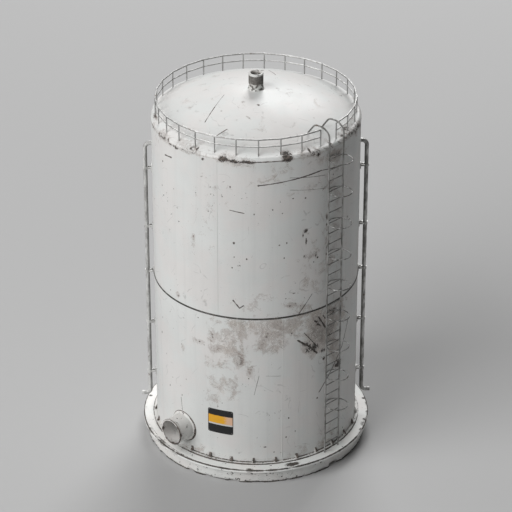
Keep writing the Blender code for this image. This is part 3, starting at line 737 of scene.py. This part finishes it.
# the seam's near-black paint is dirt and rust, and painted shade under the lap
seam_finish = painted("seam_rust_and_shade", {"Paint": (0.045, 0.042, 0.037, 1.0)}, 1.2, 0.3)
seam_profile = profile_from(WALL_RADIUS, SEAM_HEIGHT, (0.6, 22.5), (6, 19.5), (12, 12), (14, 2), (14, -14),
                            (11, -21.5), (0.6, -22.5))
seam_band = turned_piece("seam_band", seam_profile, all_round(1.0), seam_finish, seam_ripple)
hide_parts("girth_seam")
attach(seam_band, "root")


# Upper course of the shell: three more rolled plates, their joints set off from those below. Its top
# edge, under the roof's knuckle, has lost most paint, and there are long scratches across it.

SHELL_TOP = 9.288
UPPER_JOINT = 24.0
SHOULDER_SPOTS = (
    (-30.3, 9.27, 160, 90, 58), (-22, 9.3, 300, 80, 47), (-10.5, 9.32, 120, 70, 52),
    (-15, 9.3, 500, 110, 47), (-5, 9.26, 240, 30, 63), (-2.5, 9.24, 70, 45, 67), (4, 9.26, 300, 50, 45),
    (7.8, 9.37, 60, 60, 58), (11.2, 9.4, 50, 50, 52), (8, 9.33, 600, 110, 41), (15.8, 9.21, 36, 36),
    (26.6, 9.32, 90, 70, 56), (27.5, 9.31, 140, 95, 70), (34, 9.29, 230, 65, 70), (40.5, 9.28, 240, 50, 68),
    (35, 9.3, 550, 100, 47), (48, 9.29, 300, 14), (56, 9.29, 260, 12), (62.5, 9.34, 160, 110, 78),
    (59.5, 9.28, 100, 35, 63), (75.6, 9.39, 34, 50), (80.1, 9.27, 90, 80, 56), (78, 9.34, 500, 110, 47),
    (90, 9.36, 80, 90, 58), (94.1, 9.05, 280, 130, 44), (110, 9.34, 700, 110, 46), (118, 9.3, 400, 160, 48),
    (125, 9.15, 150, 240, 52), (101, 9.41, 240, 50, 50), (110.5, 9.44, 300, 50, 50),
    (120, 9.42, 300, 50, 50), (-39, 9.4, 260, 20, 56), (-31, 9.29, 260, 16, 60), (-15.9, 8.62, 28, 24),
    (148, 9.29, 600, 90, 49), (170, 9.26, 200, 90, 56), (-50, 9.29, 500, 80, 47), (-72, 9.26, 200, 80, 58),
    (-96, 9.29, 600, 60, 49), (-121, 9.25, 300, 90, 54), (-150, 9.28, 600, 80, 47),
)
UPPER_SPOTS = [(*chip, 58) for chip in (
    (-17.1, 7.92, 19, 31), (-12.1, 7.8, 19, 28), (-11.2, 7.59, 15, 19), (-30.6, 7.21, 22, 37),
    (-5.3, 8.05, 22, 19), (-2.6, 7.56, 19, 22), (20.1, 8.48, 15, 28), (20.4, 8.28, 19, 19),
    (22.4, 8.05, 19, 28), (18.8, 7.78, 19, 19), (12.3, 7.77, 15, 15), (14.9, 6.89, 19, 15),
    (-5.8, 5.58, 19, 19), (-4.1, 5.46, 15, 15), (-9.9, 5.02, 15, 25), (-3, 4.99, 25, 34),
    (-22.5, 4.9, 19, 37), (13.9, 5.43, 15, 15), (79.6, 6.45, 50, 90), (105.5, 7.05, 60, 50),
)] + [
    (31.4, 8.57, 15, 19), (44.2, 7.84, 15, 19), (46.6, 8.64, 28, 19), (9.4, 6.96, 19, 37, 45),
    (33.2, 7, 25, 34), (33.4, 6.6, 15, 19), (32.3, 6.29, 15, 19), (40.2, 6.56, 15, 19), (54.1, 7.95, 15, 19),
    (65.3, 8.2, 19, 15), (72.6, 8.14, 19, 19), (73.1, 7.2, 60, 60), (73.2, 6.9, 25, 128),
    (57.9, 6.93, 19, 19), (60.5, 6.55, 15, 19), (61.9, 6.97, 15, 19), (78.1, 6.25, 19, 25),
    (87, 7.4, 21, 68), (87.2, 7.03, 15, 37), (87.4, 6.54, 21, 60), (66.3, 5.48, 37, 12),
    (64.1, 5.13, 150, 50, 44), (70, 5.07, 190, 60, 46), (76.5, 5, 120, 60, 40), (9.4, 6.94, 60, 90, 38),
    (-3, 5, 80, 90, 46), (50, 5.2, 1200, 300, 14), (92, 7.3, 300, 1700, 24), (20, 8.1, 400, 600, 12),
    (12, 6.9, 500, 300, 12), (72.8, 6.49, 100, 70, 50), (76.4, 6.42, 140, 60, 48), (80.6, 6.35, 35, 30, 62),
    (74.6, 7.12, 50, 35, 56), (71.4, 7.1, 30, 60, 50), (86.6, 7.2, 20, 40, 62), (89.6, 7.12, 30, 20, 60),
    (90.2, 6.8, 40, 30, 60), (88.4, 6.64, 30, 50, 60), (86.8, 6.35, 20, 50, 62), (88, 6.1, 45, 30, 56),
    (108, 6.94, 50, 25, 60), (103, 8, 40, 30, 56), (150, 7.6, 31, 31), (163, 6, 25, 37), (-65, 7, 25, 31),
    (-82, 5.6, 31, 31), (-105, 7.9, 51, 60), (-132, 6.3, 31, 37), (-155, 5.4, 25, 31), (128, 6.7, 31, 37),
]
UPPER_SCRATCHES = (
    (46.3, 8.64, 64, 8.72, 12), (64, 8.72, 82.3, 8.79, 15), (82.3, 8.79, 100.4, 8.65, 11),
    (63.5, 8.79, 85.1, 8.62, 5), (63.6, 8.45, 85.3, 8.25, 4), (31.1, 7.92, 38.9, 7.86, 9),
    (32.7, 5.34, 36.3, 5.13, 14), (36.3, 5.13, 38.4, 5.21, 13), (-12.9, 8.86, -7, 8.9, 16),
    (69.4, 4.86, 77.4, 5.33, 10), (-112, 8.2, -88, 8.5, 10), (140, 7.2, 158, 7.5, 9),
)
UPPER_STAINS = (
    (75.5, 6.43, 340, 150, 44), (80, 5.95, 450, 900, 28), (75, 8.4, 550, 140, 36), (92, 9.05, 500, 180, 56),
    (70, 5.05, 450, 180, 42), (38, 9.2, 500, 120, 34), (56, 8.95, 800, 300, 28), (-20, 9.2, 600, 140, 22),
    (91, 7, 450, 2400, 19), (-95, 8.9, 900, 400, 42), (160, 8.9, 800, 350, 44),
)


def upper_marks(place):
    return wall_marks(place, UPPER_SPOTS, UPPER_SCRATCHES) | spots(place, SHOULDER_SPOTS)


upper_finish = painted("upper_wall_paint", WALL_COLOURS, WALL_LOSS, WALL_STREAKS, marks=upper_marks,
                       grime=lambda place: spots(place, UPPER_STAINS))
for number in range(3):
    start = UPPER_JOINT + THIRD * number
    plate = wall_plate(f"upper_wall_{number + 1}", start, SEAM_HEIGHT, SHELL_TOP - CLEARANCE, upper_finish)
    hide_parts(f"upper_shell_plate_{number + 1}")
    bead = upright_weld(f"upper_wall_weld_{number + 1}", start, SEAM_HEIGHT + 0.03, SHELL_TOP - 0.01,
                        upper_finish)
    for piece in (plate, bead):
        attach(piece, "root")


# Roof: three pressed plates that make a rounded knuckle and a shallow dish, welded to the shell's top
# edge, and a crown plate in the middle with the vent's hole in it.

FLANGE = 0.01
KNUCKLE = 0.09
ROOF_CROWN = 10.038
DISH_RADIUS = WALL_RADIUS - KNUCKLE
KNUCKLE_FOOT = SHELL_TOP + FLANGE
ROOF_THICKNESS = 0.01
CROWN_EDGE = 0.9
CROWN_GAP = 0.0012
VENT_RADIUS = 0.195
ROOF_SPOTS = (
    (-25.2, 1.77, 50, 50, 34), (3.8, 1.32, 40, 30, 50), (19.8, 0.75, 50, 50, 36), (49.7, 0.85, 30, 24),
    (70.2, 0.8, 35, 30, 48), (37.6, 1.37, 80, 30, 42), (138.5, 0.54, 60, 40, 40), (150.5, 2.25, 40, 60, 52),
    (98.5, 1.81, 30, 30, 50), (-3.2, 2.56, 50, 30, 50), (220, 1.6, 60, 50), (255, 2.2, 50, 50, 50),
    (185, 1.9, 40, 50, 50),
)
ROOF_SCRATCHES = (
    (1, 1.82, -7.9, 1.295, 11), (-7.9, 1.295, -27.4, 0.84, 5), (17.6, 2.1, 22.3, 1.84, 10),
    (200, 1.2, 214, 1.7, 9),
)


def roof_height(radius):
    """Height of the roof's outer face."""
    if radius >= DISH_RADIUS:
        reach = min(radius - DISH_RADIUS, KNUCKLE)
        return KNUCKLE_FOOT + math.sqrt(KNUCKLE ** 2 - reach ** 2)
    return ROOF_CROWN - (ROOF_CROWN - KNUCKLE_FOOT - KNUCKLE) * (radius / DISH_RADIUS) ** 2


def roof_marks(place):
    """The roof's own marks, laid on from above, and those that run over from the shoulder."""
    x, y, z = split(place)
    sheet = flat(x, y)
    listed = [(*outward(angle).xy * radius, *size) for angle, radius, *size in ROOF_SPOTS]
    lines = [(*outward(angle).xy * radius, *outward(last).xy * last_radius, half)
             for angle, radius, last, last_radius, half in ROOF_SCRATCHES]
    return patches(sheet, listed) | scratches(sheet, lines) | spots(place, SHOULDER_SPOTS)


# the roof's paint is paler than the shell's, as painted light on the top
roof_finish = painted("roof_paint_chipped", {"Paint": (0.815, 0.813, 0.805, 1.0)}, 0.15, 0.0,
                      marks=roof_marks)
radii = evenly(CROWN_EDGE, DISH_RADIUS, 0.12)
radii += [DISH_RADIUS + KNUCKLE * math.sin(math.radians(turn)) for turn in range(9, 91, 9)]
outer = [(radius, roof_height(radius)) for radius in radii] + [(WALL_RADIUS, SHELL_TOP)]
inner = [(radius - ROOF_THICKNESS * radius / WALL_RADIUS, height - ROOF_THICKNESS)
         for radius, height in outer[:-1]] + [(WALL_RADIUS - ROOF_THICKNESS, SHELL_TOP)]
for number in range(3):
    start = LOWER_JOINT + THIRD * number
    plate = turned_piece(f"roof_plate_smooth_{number + 1}", outer + inner[::-1],
                         evenly(start + HALF_GAP, start + THIRD - HALF_GAP, 2.0), roof_finish, full=False)
    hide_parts(f"roof_plate_{number + 1}")
    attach(plate, "root")
radii = evenly(VENT_RADIUS + CROWN_GAP, CROWN_EDGE - CROWN_GAP, 0.1)
disc = [(radius, roof_height(radius)) for radius in radii]
disc += [(radius, height - ROOF_THICKNESS) for radius, height in disc[::-1]]
crown_plate = turned_piece("crown_plate", disc, all_round(3.0), roof_finish)
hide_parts("roof_crown")
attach(crown_plate, "root")
bead_profile = profile_from(WALL_RADIUS, KNUCKLE_FOOT, (-0.6, 8), (5, 2))
bead_profile += profile_from(WALL_RADIUS, SHELL_TOP, (5, -4), (-0.6, -10))
shoulder_finish = painted("shoulder_weld_rusted", {"Paint": (0.68, 0.67, 0.65, 1.0)}, 1.1, 0.2,
                          marks=lambda place: spots(place, SHOULDER_SPOTS))
shoulder_weld = turned_piece("shoulder_weld", bead_profile, all_round(1.0), shoulder_finish, weld_ripple)
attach(shoulder_weld, "root")


# Vent: an open stub of steel pipe through the crown plate, with a welded collar at its foot. Most of
# its paint has gone, apart from a ragged skirt low down and the pale lip.

VENT_TOP = 10.475
VENT_BORE = 0.142
vent_foot = roof_height(VENT_RADIUS) + CLEARANCE
vent_profile = profile_from(VENT_BORE, VENT_TOP, (0, -6), (6, 0), (18, 0))
vent_profile += profile_from(VENT_RADIUS, VENT_TOP, (-12, -10), (0, -35), (-6, -60))
vent_profile += [(VENT_RADIUS - 0.006, height) for height in evenly(VENT_TOP - 0.08, vent_foot + 0.04, 0.05)]
vent_profile += profile_from(VENT_RADIUS, vent_foot, (4, 22), (15, 10), (18, 0), (-0.3, 0), (-0.3, -60))
vent_profile += [(VENT_BORE, vent_foot - 0.06)]


def battered_vent(angle, radius, height):
    """Knocks the pipe's rim about."""
    knock = uneven(angle, 2.2, 3.0)
    top = max(0.0, (height - VENT_TOP + 0.1) / 0.1)
    outside = radius > VENT_BORE + 0.001
    return radius - 0.004 * (1.0 + knock) * top * outside, height - 0.008 * max(0.0, knock) * top


def vent_paint_loss(place):
    """Bare outside between the lip and the skirt, which comes off in big flakes."""
    x, y, z = split(place)
    flakes = rise(mottle(place, 13.0, 4.0, 0.6), 0.45, 0.55)
    low = rise(z, 10.02, 10.07) * flakes | rise(z, 10.16, 10.24)
    high = rise(z, VENT_TOP - 0.02, VENT_TOP - 0.075)
    away = far(x, y)
    outside = rise(away, VENT_BORE + 0.01, VENT_BORE + 0.02)
    inside = rise(away, VENT_BORE + 0.005, VENT_BORE + 0.001) * 0.5
    return low * high * (outside | inside)


vent_colours = {"Paint": (0.72, 0.72, 0.7, 1.0), "Bare": (0.115, 0.108, 0.098, 1.0),
                "Rust": (0.19, 0.18, 0.168, 1.0)}
vent_finish = painted("vent_bare_steel", vent_colours, 0.8, marks=vent_paint_loss)
vent_stub = turned_piece("vent_stub", vent_profile, all_round(5.625), vent_finish, battered_vent)
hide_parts("vent_pipe")
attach(vent_stub, "root")


# Guardrail: two rows of tube round the roof's edge on short posts, in four lengths, with an open bay
# where the ladder arrives. The grab rails run up past the roof's edge and down to it.

old_zinc, takes, gives = shader_group("weathered zinc", {
    "Clean": (0.46, 0.46, 0.455, 1.0),
    "Dull": (0.2, 0.195, 0.19, 1.0),
    "Stain": (0.13, 0.08, 0.055, 1.0),
    "Spread": 0.5,
})
place = surface(old_zinc)
drawn = place.vectors("MULTIPLY", (1.0, 1.0, 0.35))
dulled = rise(mottle(drawn, 9.0, 6.0, 0.66), 0.38, 0.64) * takes["Spread"]
grain = mottle(place, 24.0, 5.0, 0.65)
stained = rise(mottle(place, 5.0, 7.0, 0.68), 0.6, 0.68)
zinc = blend(grain * 0.35 + dulled, takes["Clean"], takes["Dull"])
blend(stained * 0.8, zinc, takes["Stain"]).feed(gives["Colour"])
(dulled * 0.25 + (grain * 0.2 + 0.28)).feed(gives["Roughness"])
grain.feed(gives["Height"])


def zinc_finish(name, clean, dull, spread, metallic, shade_side=None):
    """Old zinc. The last argument is the way towards the tank: faces turned that way are painted dark, as
    painted shade.
    """
    made, tree, shader = new_finish(name)
    shader["Metallic"].default_value = metallic
    coat = put(tree, "Group", {"Clean": clean, "Dull": dull, "Spread": spread}, "Colour", node_tree=old_zinc)
    colour = coat
    if shade_side:
        # painted shade: faces turned towards the tank are blended towards near black
        facing_shade = put(tree, "TexCoord", {}, "Normal").vectors("DOT_PRODUCT", shade_side)
        colour = blend(rise(facing_shade, -0.05, 0.65) * 0.85, coat, (0.07, 0.068, 0.062, 1.0))
    lay(colour, coat, shader, 0.001)
    return made


rail_finish = zinc_finish("rail_zinc", (0.5, 0.5, 0.49, 1.0), (0.2, 0.195, 0.19, 1.0), 0.45, 0.35)
grab_finish = zinc_finish("grab_rail_zinc", (0.36, 0.36, 0.35, 1.0), (0.1, 0.098, 0.09, 1.0), 0.7, 0.3)
for number in range(1, 5):
    dress(f"guardrail_{number}", rail_finish)
for hand in ("left", "right"):
    dress(f"grab_rail_{hand}", grab_finish)


# Nozzle: a short wide neck through the lower course with a thick rim, where a pipe would be joined,
# and the reinforcing pad welded round it.

NOZZLE_BORE = 0.323
NOZZLE_BEAD = 0.363
NOZZLE_REACH = 0.466
NECK_INSIDE = 0.05
PAD_RADIUS = 0.435
PAD_PROUD = 0.014
RIM_CHIPS = (
    (-0.335, -0.02, 0.06), (0.03, -0.335, 0.06), (0.345, 0.02, 0.065), (-0.2, -0.28, 0.03),
    (0.26, 0.24, 0.035),
)


def nozzle_piece(name, profile, steps, finish, fit=None):
    """A closed profile of (radius, distance from the shell) turned about the nozzle's own line."""
    piece = turned_piece(name, profile, all_round(360.0 / steps), finish)
    piece.data.transform(NOZZLE_PLACE)
    if fit:
        for vertex in piece.data.vertices:
            vertex.co = fit(vertex.co)
    return piece


def nozzle_wear_and_shade(place):
    """Worn lines along the edges of the rim and the pad, widened at the right into painted shade, the rim's
    also at the bottom, and chips on the rim.
    """
    x, y, z = split(place)
    up = z - NOZZLE_HEIGHT
    away = far(x, up)
    narrow = -0.5 / 0.013
    # painted shade: the rim's and the pad's dark lines widen to the right, the rim's also to the bottom
    rim_reach = rise(x - up, -0.2, 0.45) * (-narrow - 0.5 / 0.036) + narrow
    pad_reach = rise(x, -0.05, 0.4) * (-narrow - 0.5 / 0.06) + narrow
    outer_rim = far(away - NOZZLE_BEAD, y + (WALL_RADIUS + NOZZLE_REACH - 0.014)) * rim_reach + 1.0
    inner_rim = far(away - NOZZLE_BORE, y + (WALL_RADIUS + NOZZLE_REACH - 0.007)) * (-0.5 / 0.008) + 1.0
    field = outer_rim | inner_rim | abs(away - PAD_RADIUS) * pad_reach + 1.0
    for across, height, reach in RIM_CHIPS:
        chip = (across, -WALL_RADIUS - NOZZLE_REACH, NOZZLE_HEIGHT + height)
        field = field | place.vectors("DISTANCE", chip) * (-0.5 / reach) + 1.0
    return field


def darker_inside_neck(place):
    """Darkens the inside of the neck a little, all over."""
    x, y, z = split(place)
    return rise(far(x, z - NOZZLE_HEIGHT), NOZZLE_BORE + 0.004, NOZZLE_BORE - 0.001) * 0.16


def wrapped(point):
    """Bends a flat ring round the shell, so that what was a depth becomes a radius."""
    return at(math.degrees(math.asin(point.x / WALL_RADIUS)), -point.y, point.z)


# the neck's and pad's paint is paler than the shell's, as painted light on them
neck_colours = {"Paint": (0.78, 0.762, 0.745, 1.0), "Grime Colour": (0.34, 0.335, 0.31, 1.0)}
neck_finish = painted("nozzle_paint_chipped", neck_colours, 0.7, 0.05, marks=nozzle_wear_and_shade, grime=darker_inside_neck)
neck_profile = profile_from(NOZZLE_BORE, NOZZLE_REACH, (0, -6), (6, 0))
neck_profile += profile_from(NOZZLE_BEAD, NOZZLE_REACH, (-8, 0), (0, -8), (0, -22), (-8, -30))
neck_profile += [(NOZZLE_RADIUS, NOZZLE_REACH - 0.034)]
neck_profile += [(NOZZLE_RADIUS, out) for out in evenly(NOZZLE_REACH - 0.06, -NECK_INSIDE, 0.08)]
neck_profile += [(NOZZLE_BORE, out) for out in evenly(-NECK_INSIDE, NOZZLE_REACH - 0.03, 0.08)]
nozzle_stub = nozzle_piece("nozzle_stub", neck_profile, 72, neck_finish)
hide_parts("nozzle_neck")
pad_profile = profile_from(NOZZLE_RADIUS, PAD_PROUD, (0.6, -0.6)) + profile_from(
    PAD_RADIUS, PAD_PROUD, (-10, -0.6), (-3, -4), (0, -11), (0, -13.4)) + [(NOZZLE_RADIUS + 0.0006, 0.0006)]
nozzle_pad_ring = nozzle_piece("nozzle_pad_ring", pad_profile, 96, neck_finish, wrapped)
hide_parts("nozzle_pad")
neck_weld = nozzle_piece(
    "neck_weld", profile_from(NOZZLE_RADIUS, PAD_PROUD, (0.4, 16), (9, 9), (16, 0.2), (0.4, 0.2)),
    96, neck_finish, wrapped)
for piece in (nozzle_stub, nozzle_pad_ring, neck_weld):
    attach(piece, "root")


# Notice plate: a thin sheet with rounded corners bent to the shell and held by four rivets, painted in
# plain bands: black over amber over black, with a pale line under the amber.

NOTICE_ANGLE = 24.9
NOTICE_HALF_WIDTH = 0.35
NOTICE_HALF_HEIGHT = 0.36
NOTICE_MIDDLE = 1.63
NOTICE_CORNER = 0.045
NOTICE_OUT = WALL_RADIUS + 0.0006
NOTICE_THICK = 0.003
RIVET_ACROSS = NOTICE_HALF_WIDTH - 0.035
RIVET_UP = NOTICE_HALF_HEIGHT - 0.035


def on_wall(across, height, out):
    return at(NOTICE_ANGLE + math.degrees(across / WALL_RADIUS), out, height)


def banded_notice():
    """Black enamel with an amber band over a pale line, all a little worn."""
    made, tree, shader = new_finish("notice_enamel")
    place = surface(tree)
    along, y, z = split(unrolled(place))
    worn = mottle(place, 14.0, 6.0, 0.65) - 0.5
    height = worn * 0.02 + z
    across = along - round_wall(NOTICE_ANGLE)
    above = {level: rise(height, level - 0.003, level + 0.003) for level in (1.52, 1.565, 1.8)}
    inside = rise(abs(across), NOTICE_HALF_WIDTH - 0.012, NOTICE_HALF_WIDTH - 0.018)
    faded = rise(worn * 0.5 + across, 0.08, 0.2)
    amber = blend(faded * 0.7, (0.8, 0.4, 0.022, 1.0), (0.7, 0.5, 0.44, 1.0))
    colour = blend((above[1.565] - above[1.8]) * inside, (0.012, 0.012, 0.013, 1.0), amber)
    colour = blend((above[1.52] - above[1.565]) * inside, colour, (0.62, 0.61, 0.59, 1.0))
    rubbed = rise(worn, 0.16, 0.22)
    blend(rubbed * 0.6, colour, (0.45, 0.44, 0.42, 1.0)).feed(shader["Base Color"])
    (worn * 0.5 + 0.42).feed(shader["Roughness"])
    return made


shape = bmesh.new()
corners = []
for quarter, (side, end) in enumerate(((1, 1), (-1, 1), (-1, -1), (1, -1))):
    for turn in evenly(math.pi / 2 * quarter, math.pi / 2 * (quarter + 1), math.pi / 12):
        corners.append(shape.verts.new((
            side * (NOTICE_HALF_WIDTH - NOTICE_CORNER) + NOTICE_CORNER * math.cos(turn), 0.0,
            NOTICE_MIDDLE + end * (NOTICE_HALF_HEIGHT - NOTICE_CORNER) + NOTICE_CORNER * math.sin(turn))))
for thing in bmesh.ops.extrude_face_region(shape, geom=[shape.faces.new(corners)])["geom"]:
    if isinstance(thing, bmesh.types.BMVert):
        thing.co.y = NOTICE_THICK
for number in range(1, 14):
    fold = (NOTICE_HALF_WIDTH * (number / 7.0 - 1.0), 0.0, 0.0)
    bmesh.ops.bisect_plane(shape, geom=shape.verts[:] + shape.edges[:] + shape.faces[:], dist=0.00001,
                           plane_co=fold, plane_no=(1.0, 0.0, 0.0))
for vertex in shape.verts:
    vertex.co = on_wall(vertex.co.x, vertex.co.z, NOTICE_OUT + vertex.co.y)
notice_plate = drawn_piece("notice_plate", shape, banded_notice(), 35.0)
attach(notice_plate, "root")


def small_heads(name, places, profile, sides, finish):
    """Heads of rivets or bolts in one mesh. Each place is a point and the way out from the surface."""
    shape = bmesh.new()
    turns = [2.0 * math.pi * i / sides for i in range(sides)]
    for point, out in places:
        along = Vector((0.0, 0.0, 1.0)).cross(out).normalized()
        up = out.cross(along)
        ways = [along * math.cos(turn) + up * math.sin(turn) for turn in turns]
        skin(shape, [[shape.verts.new(point + out * lift + way * radius) for way in ways]
                     for radius, lift in profile])
    return drawn_piece(name, shape, finish, 40.0)


rivet_places = [(on_wall(across, NOTICE_MIDDLE + up, NOTICE_OUT + NOTICE_THICK + 0.0002),
                 outward(NOTICE_ANGLE + math.degrees(across / WALL_RADIUS)))
                for across in (-RIVET_ACROSS, RIVET_ACROSS) for up in (-RIVET_UP, RIVET_UP)]
notice_rivets = small_heads(
    "notice_rivets", rivet_places, ((0.01, 0.0), (0.0095, 0.002), (0.0075, 0.0042), (0.004, 0.0055)), 12,
    painted("rivet_paint", {"Paint": (0.45, 0.44, 0.42, 1.0)}, 1.2))
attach(notice_rivets, "root")


# Ladder: two tube stiles with round rungs, bolted to stand-offs on the shell, and the bent round-bar
# hoops of its safety cage. Its zinc has gone dull and dark.

ladder_finish = zinc_finish("ladder_zinc", (0.38, 0.38, 0.37, 1.0), (0.11, 0.107, 0.1, 1.0), 0.75, 0.3)
hoop_finish = zinc_finish("hoop_zinc", (0.44, 0.44, 0.43, 1.0), (0.07, 0.068, 0.063, 1.0), 0.95, 0.3)
dress("ladder", ladder_finish)
for number in range(1, 10):
    dress(f"cage_hoop_{number}", hoop_finish)


# Down-pipes: one on each side, bent in to the roof's edge at the top and out over the plinth at the
# foot, and held to the shell by five clamp brackets each, with four bolts in each bracket's foot.

BRACKET_HEIGHTS = (1.705, 3.25, 4.8, 6.13, 7.83)
FOOT_FACE = WALL_RADIUS + 0.018
BOLT_PROFILE = ((0.012, 0.0), (0.012, 0.006), (0.01, 0.0085))
BOLT_ACROSS = 0.083
BOLT_UP = 0.052
bolt_finish = zinc_finish("bolt_zinc", (0.42, 0.42, 0.41, 1.0), (0.12, 0.1, 0.085, 1.0), 0.9, 0.5)
for hand, angle, clean, spread in (("left", -43.0, 0.82, 0.55), ("right", 137.0, 0.8, 0.85)):
    # each pipe's side towards the tank is painted dark, as painted shade
    pipe_finish = zinc_finish(f"pipe_zinc_shaded_{hand}", (clean, clean, clean * 0.98, 1.0),
                              (0.26, 0.255, 0.245, 1.0), spread, 0.3, outward(angle + 180.0)[:])
    along = outward(angle + 90.0) * BOLT_ACROSS
    bolt_places = [(at(angle, FOOT_FACE + 0.0002, height + up) + along * side, outward(angle))
                   for height in BRACKET_HEIGHTS for side in (-1.0, 1.0) for up in (-BOLT_UP, BOLT_UP)]
    bracket_bolts = small_heads(f"bracket_bolts_{hand}", bolt_places, BOLT_PROFILE, 6, bolt_finish)
    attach(bracket_bolts, "root")
    for name in [f"down_pipe_{hand}"] + [f"pipe_bracket_{hand}_{number}" for number in range(1, 6)]:
        dress(name, pipe_finish)
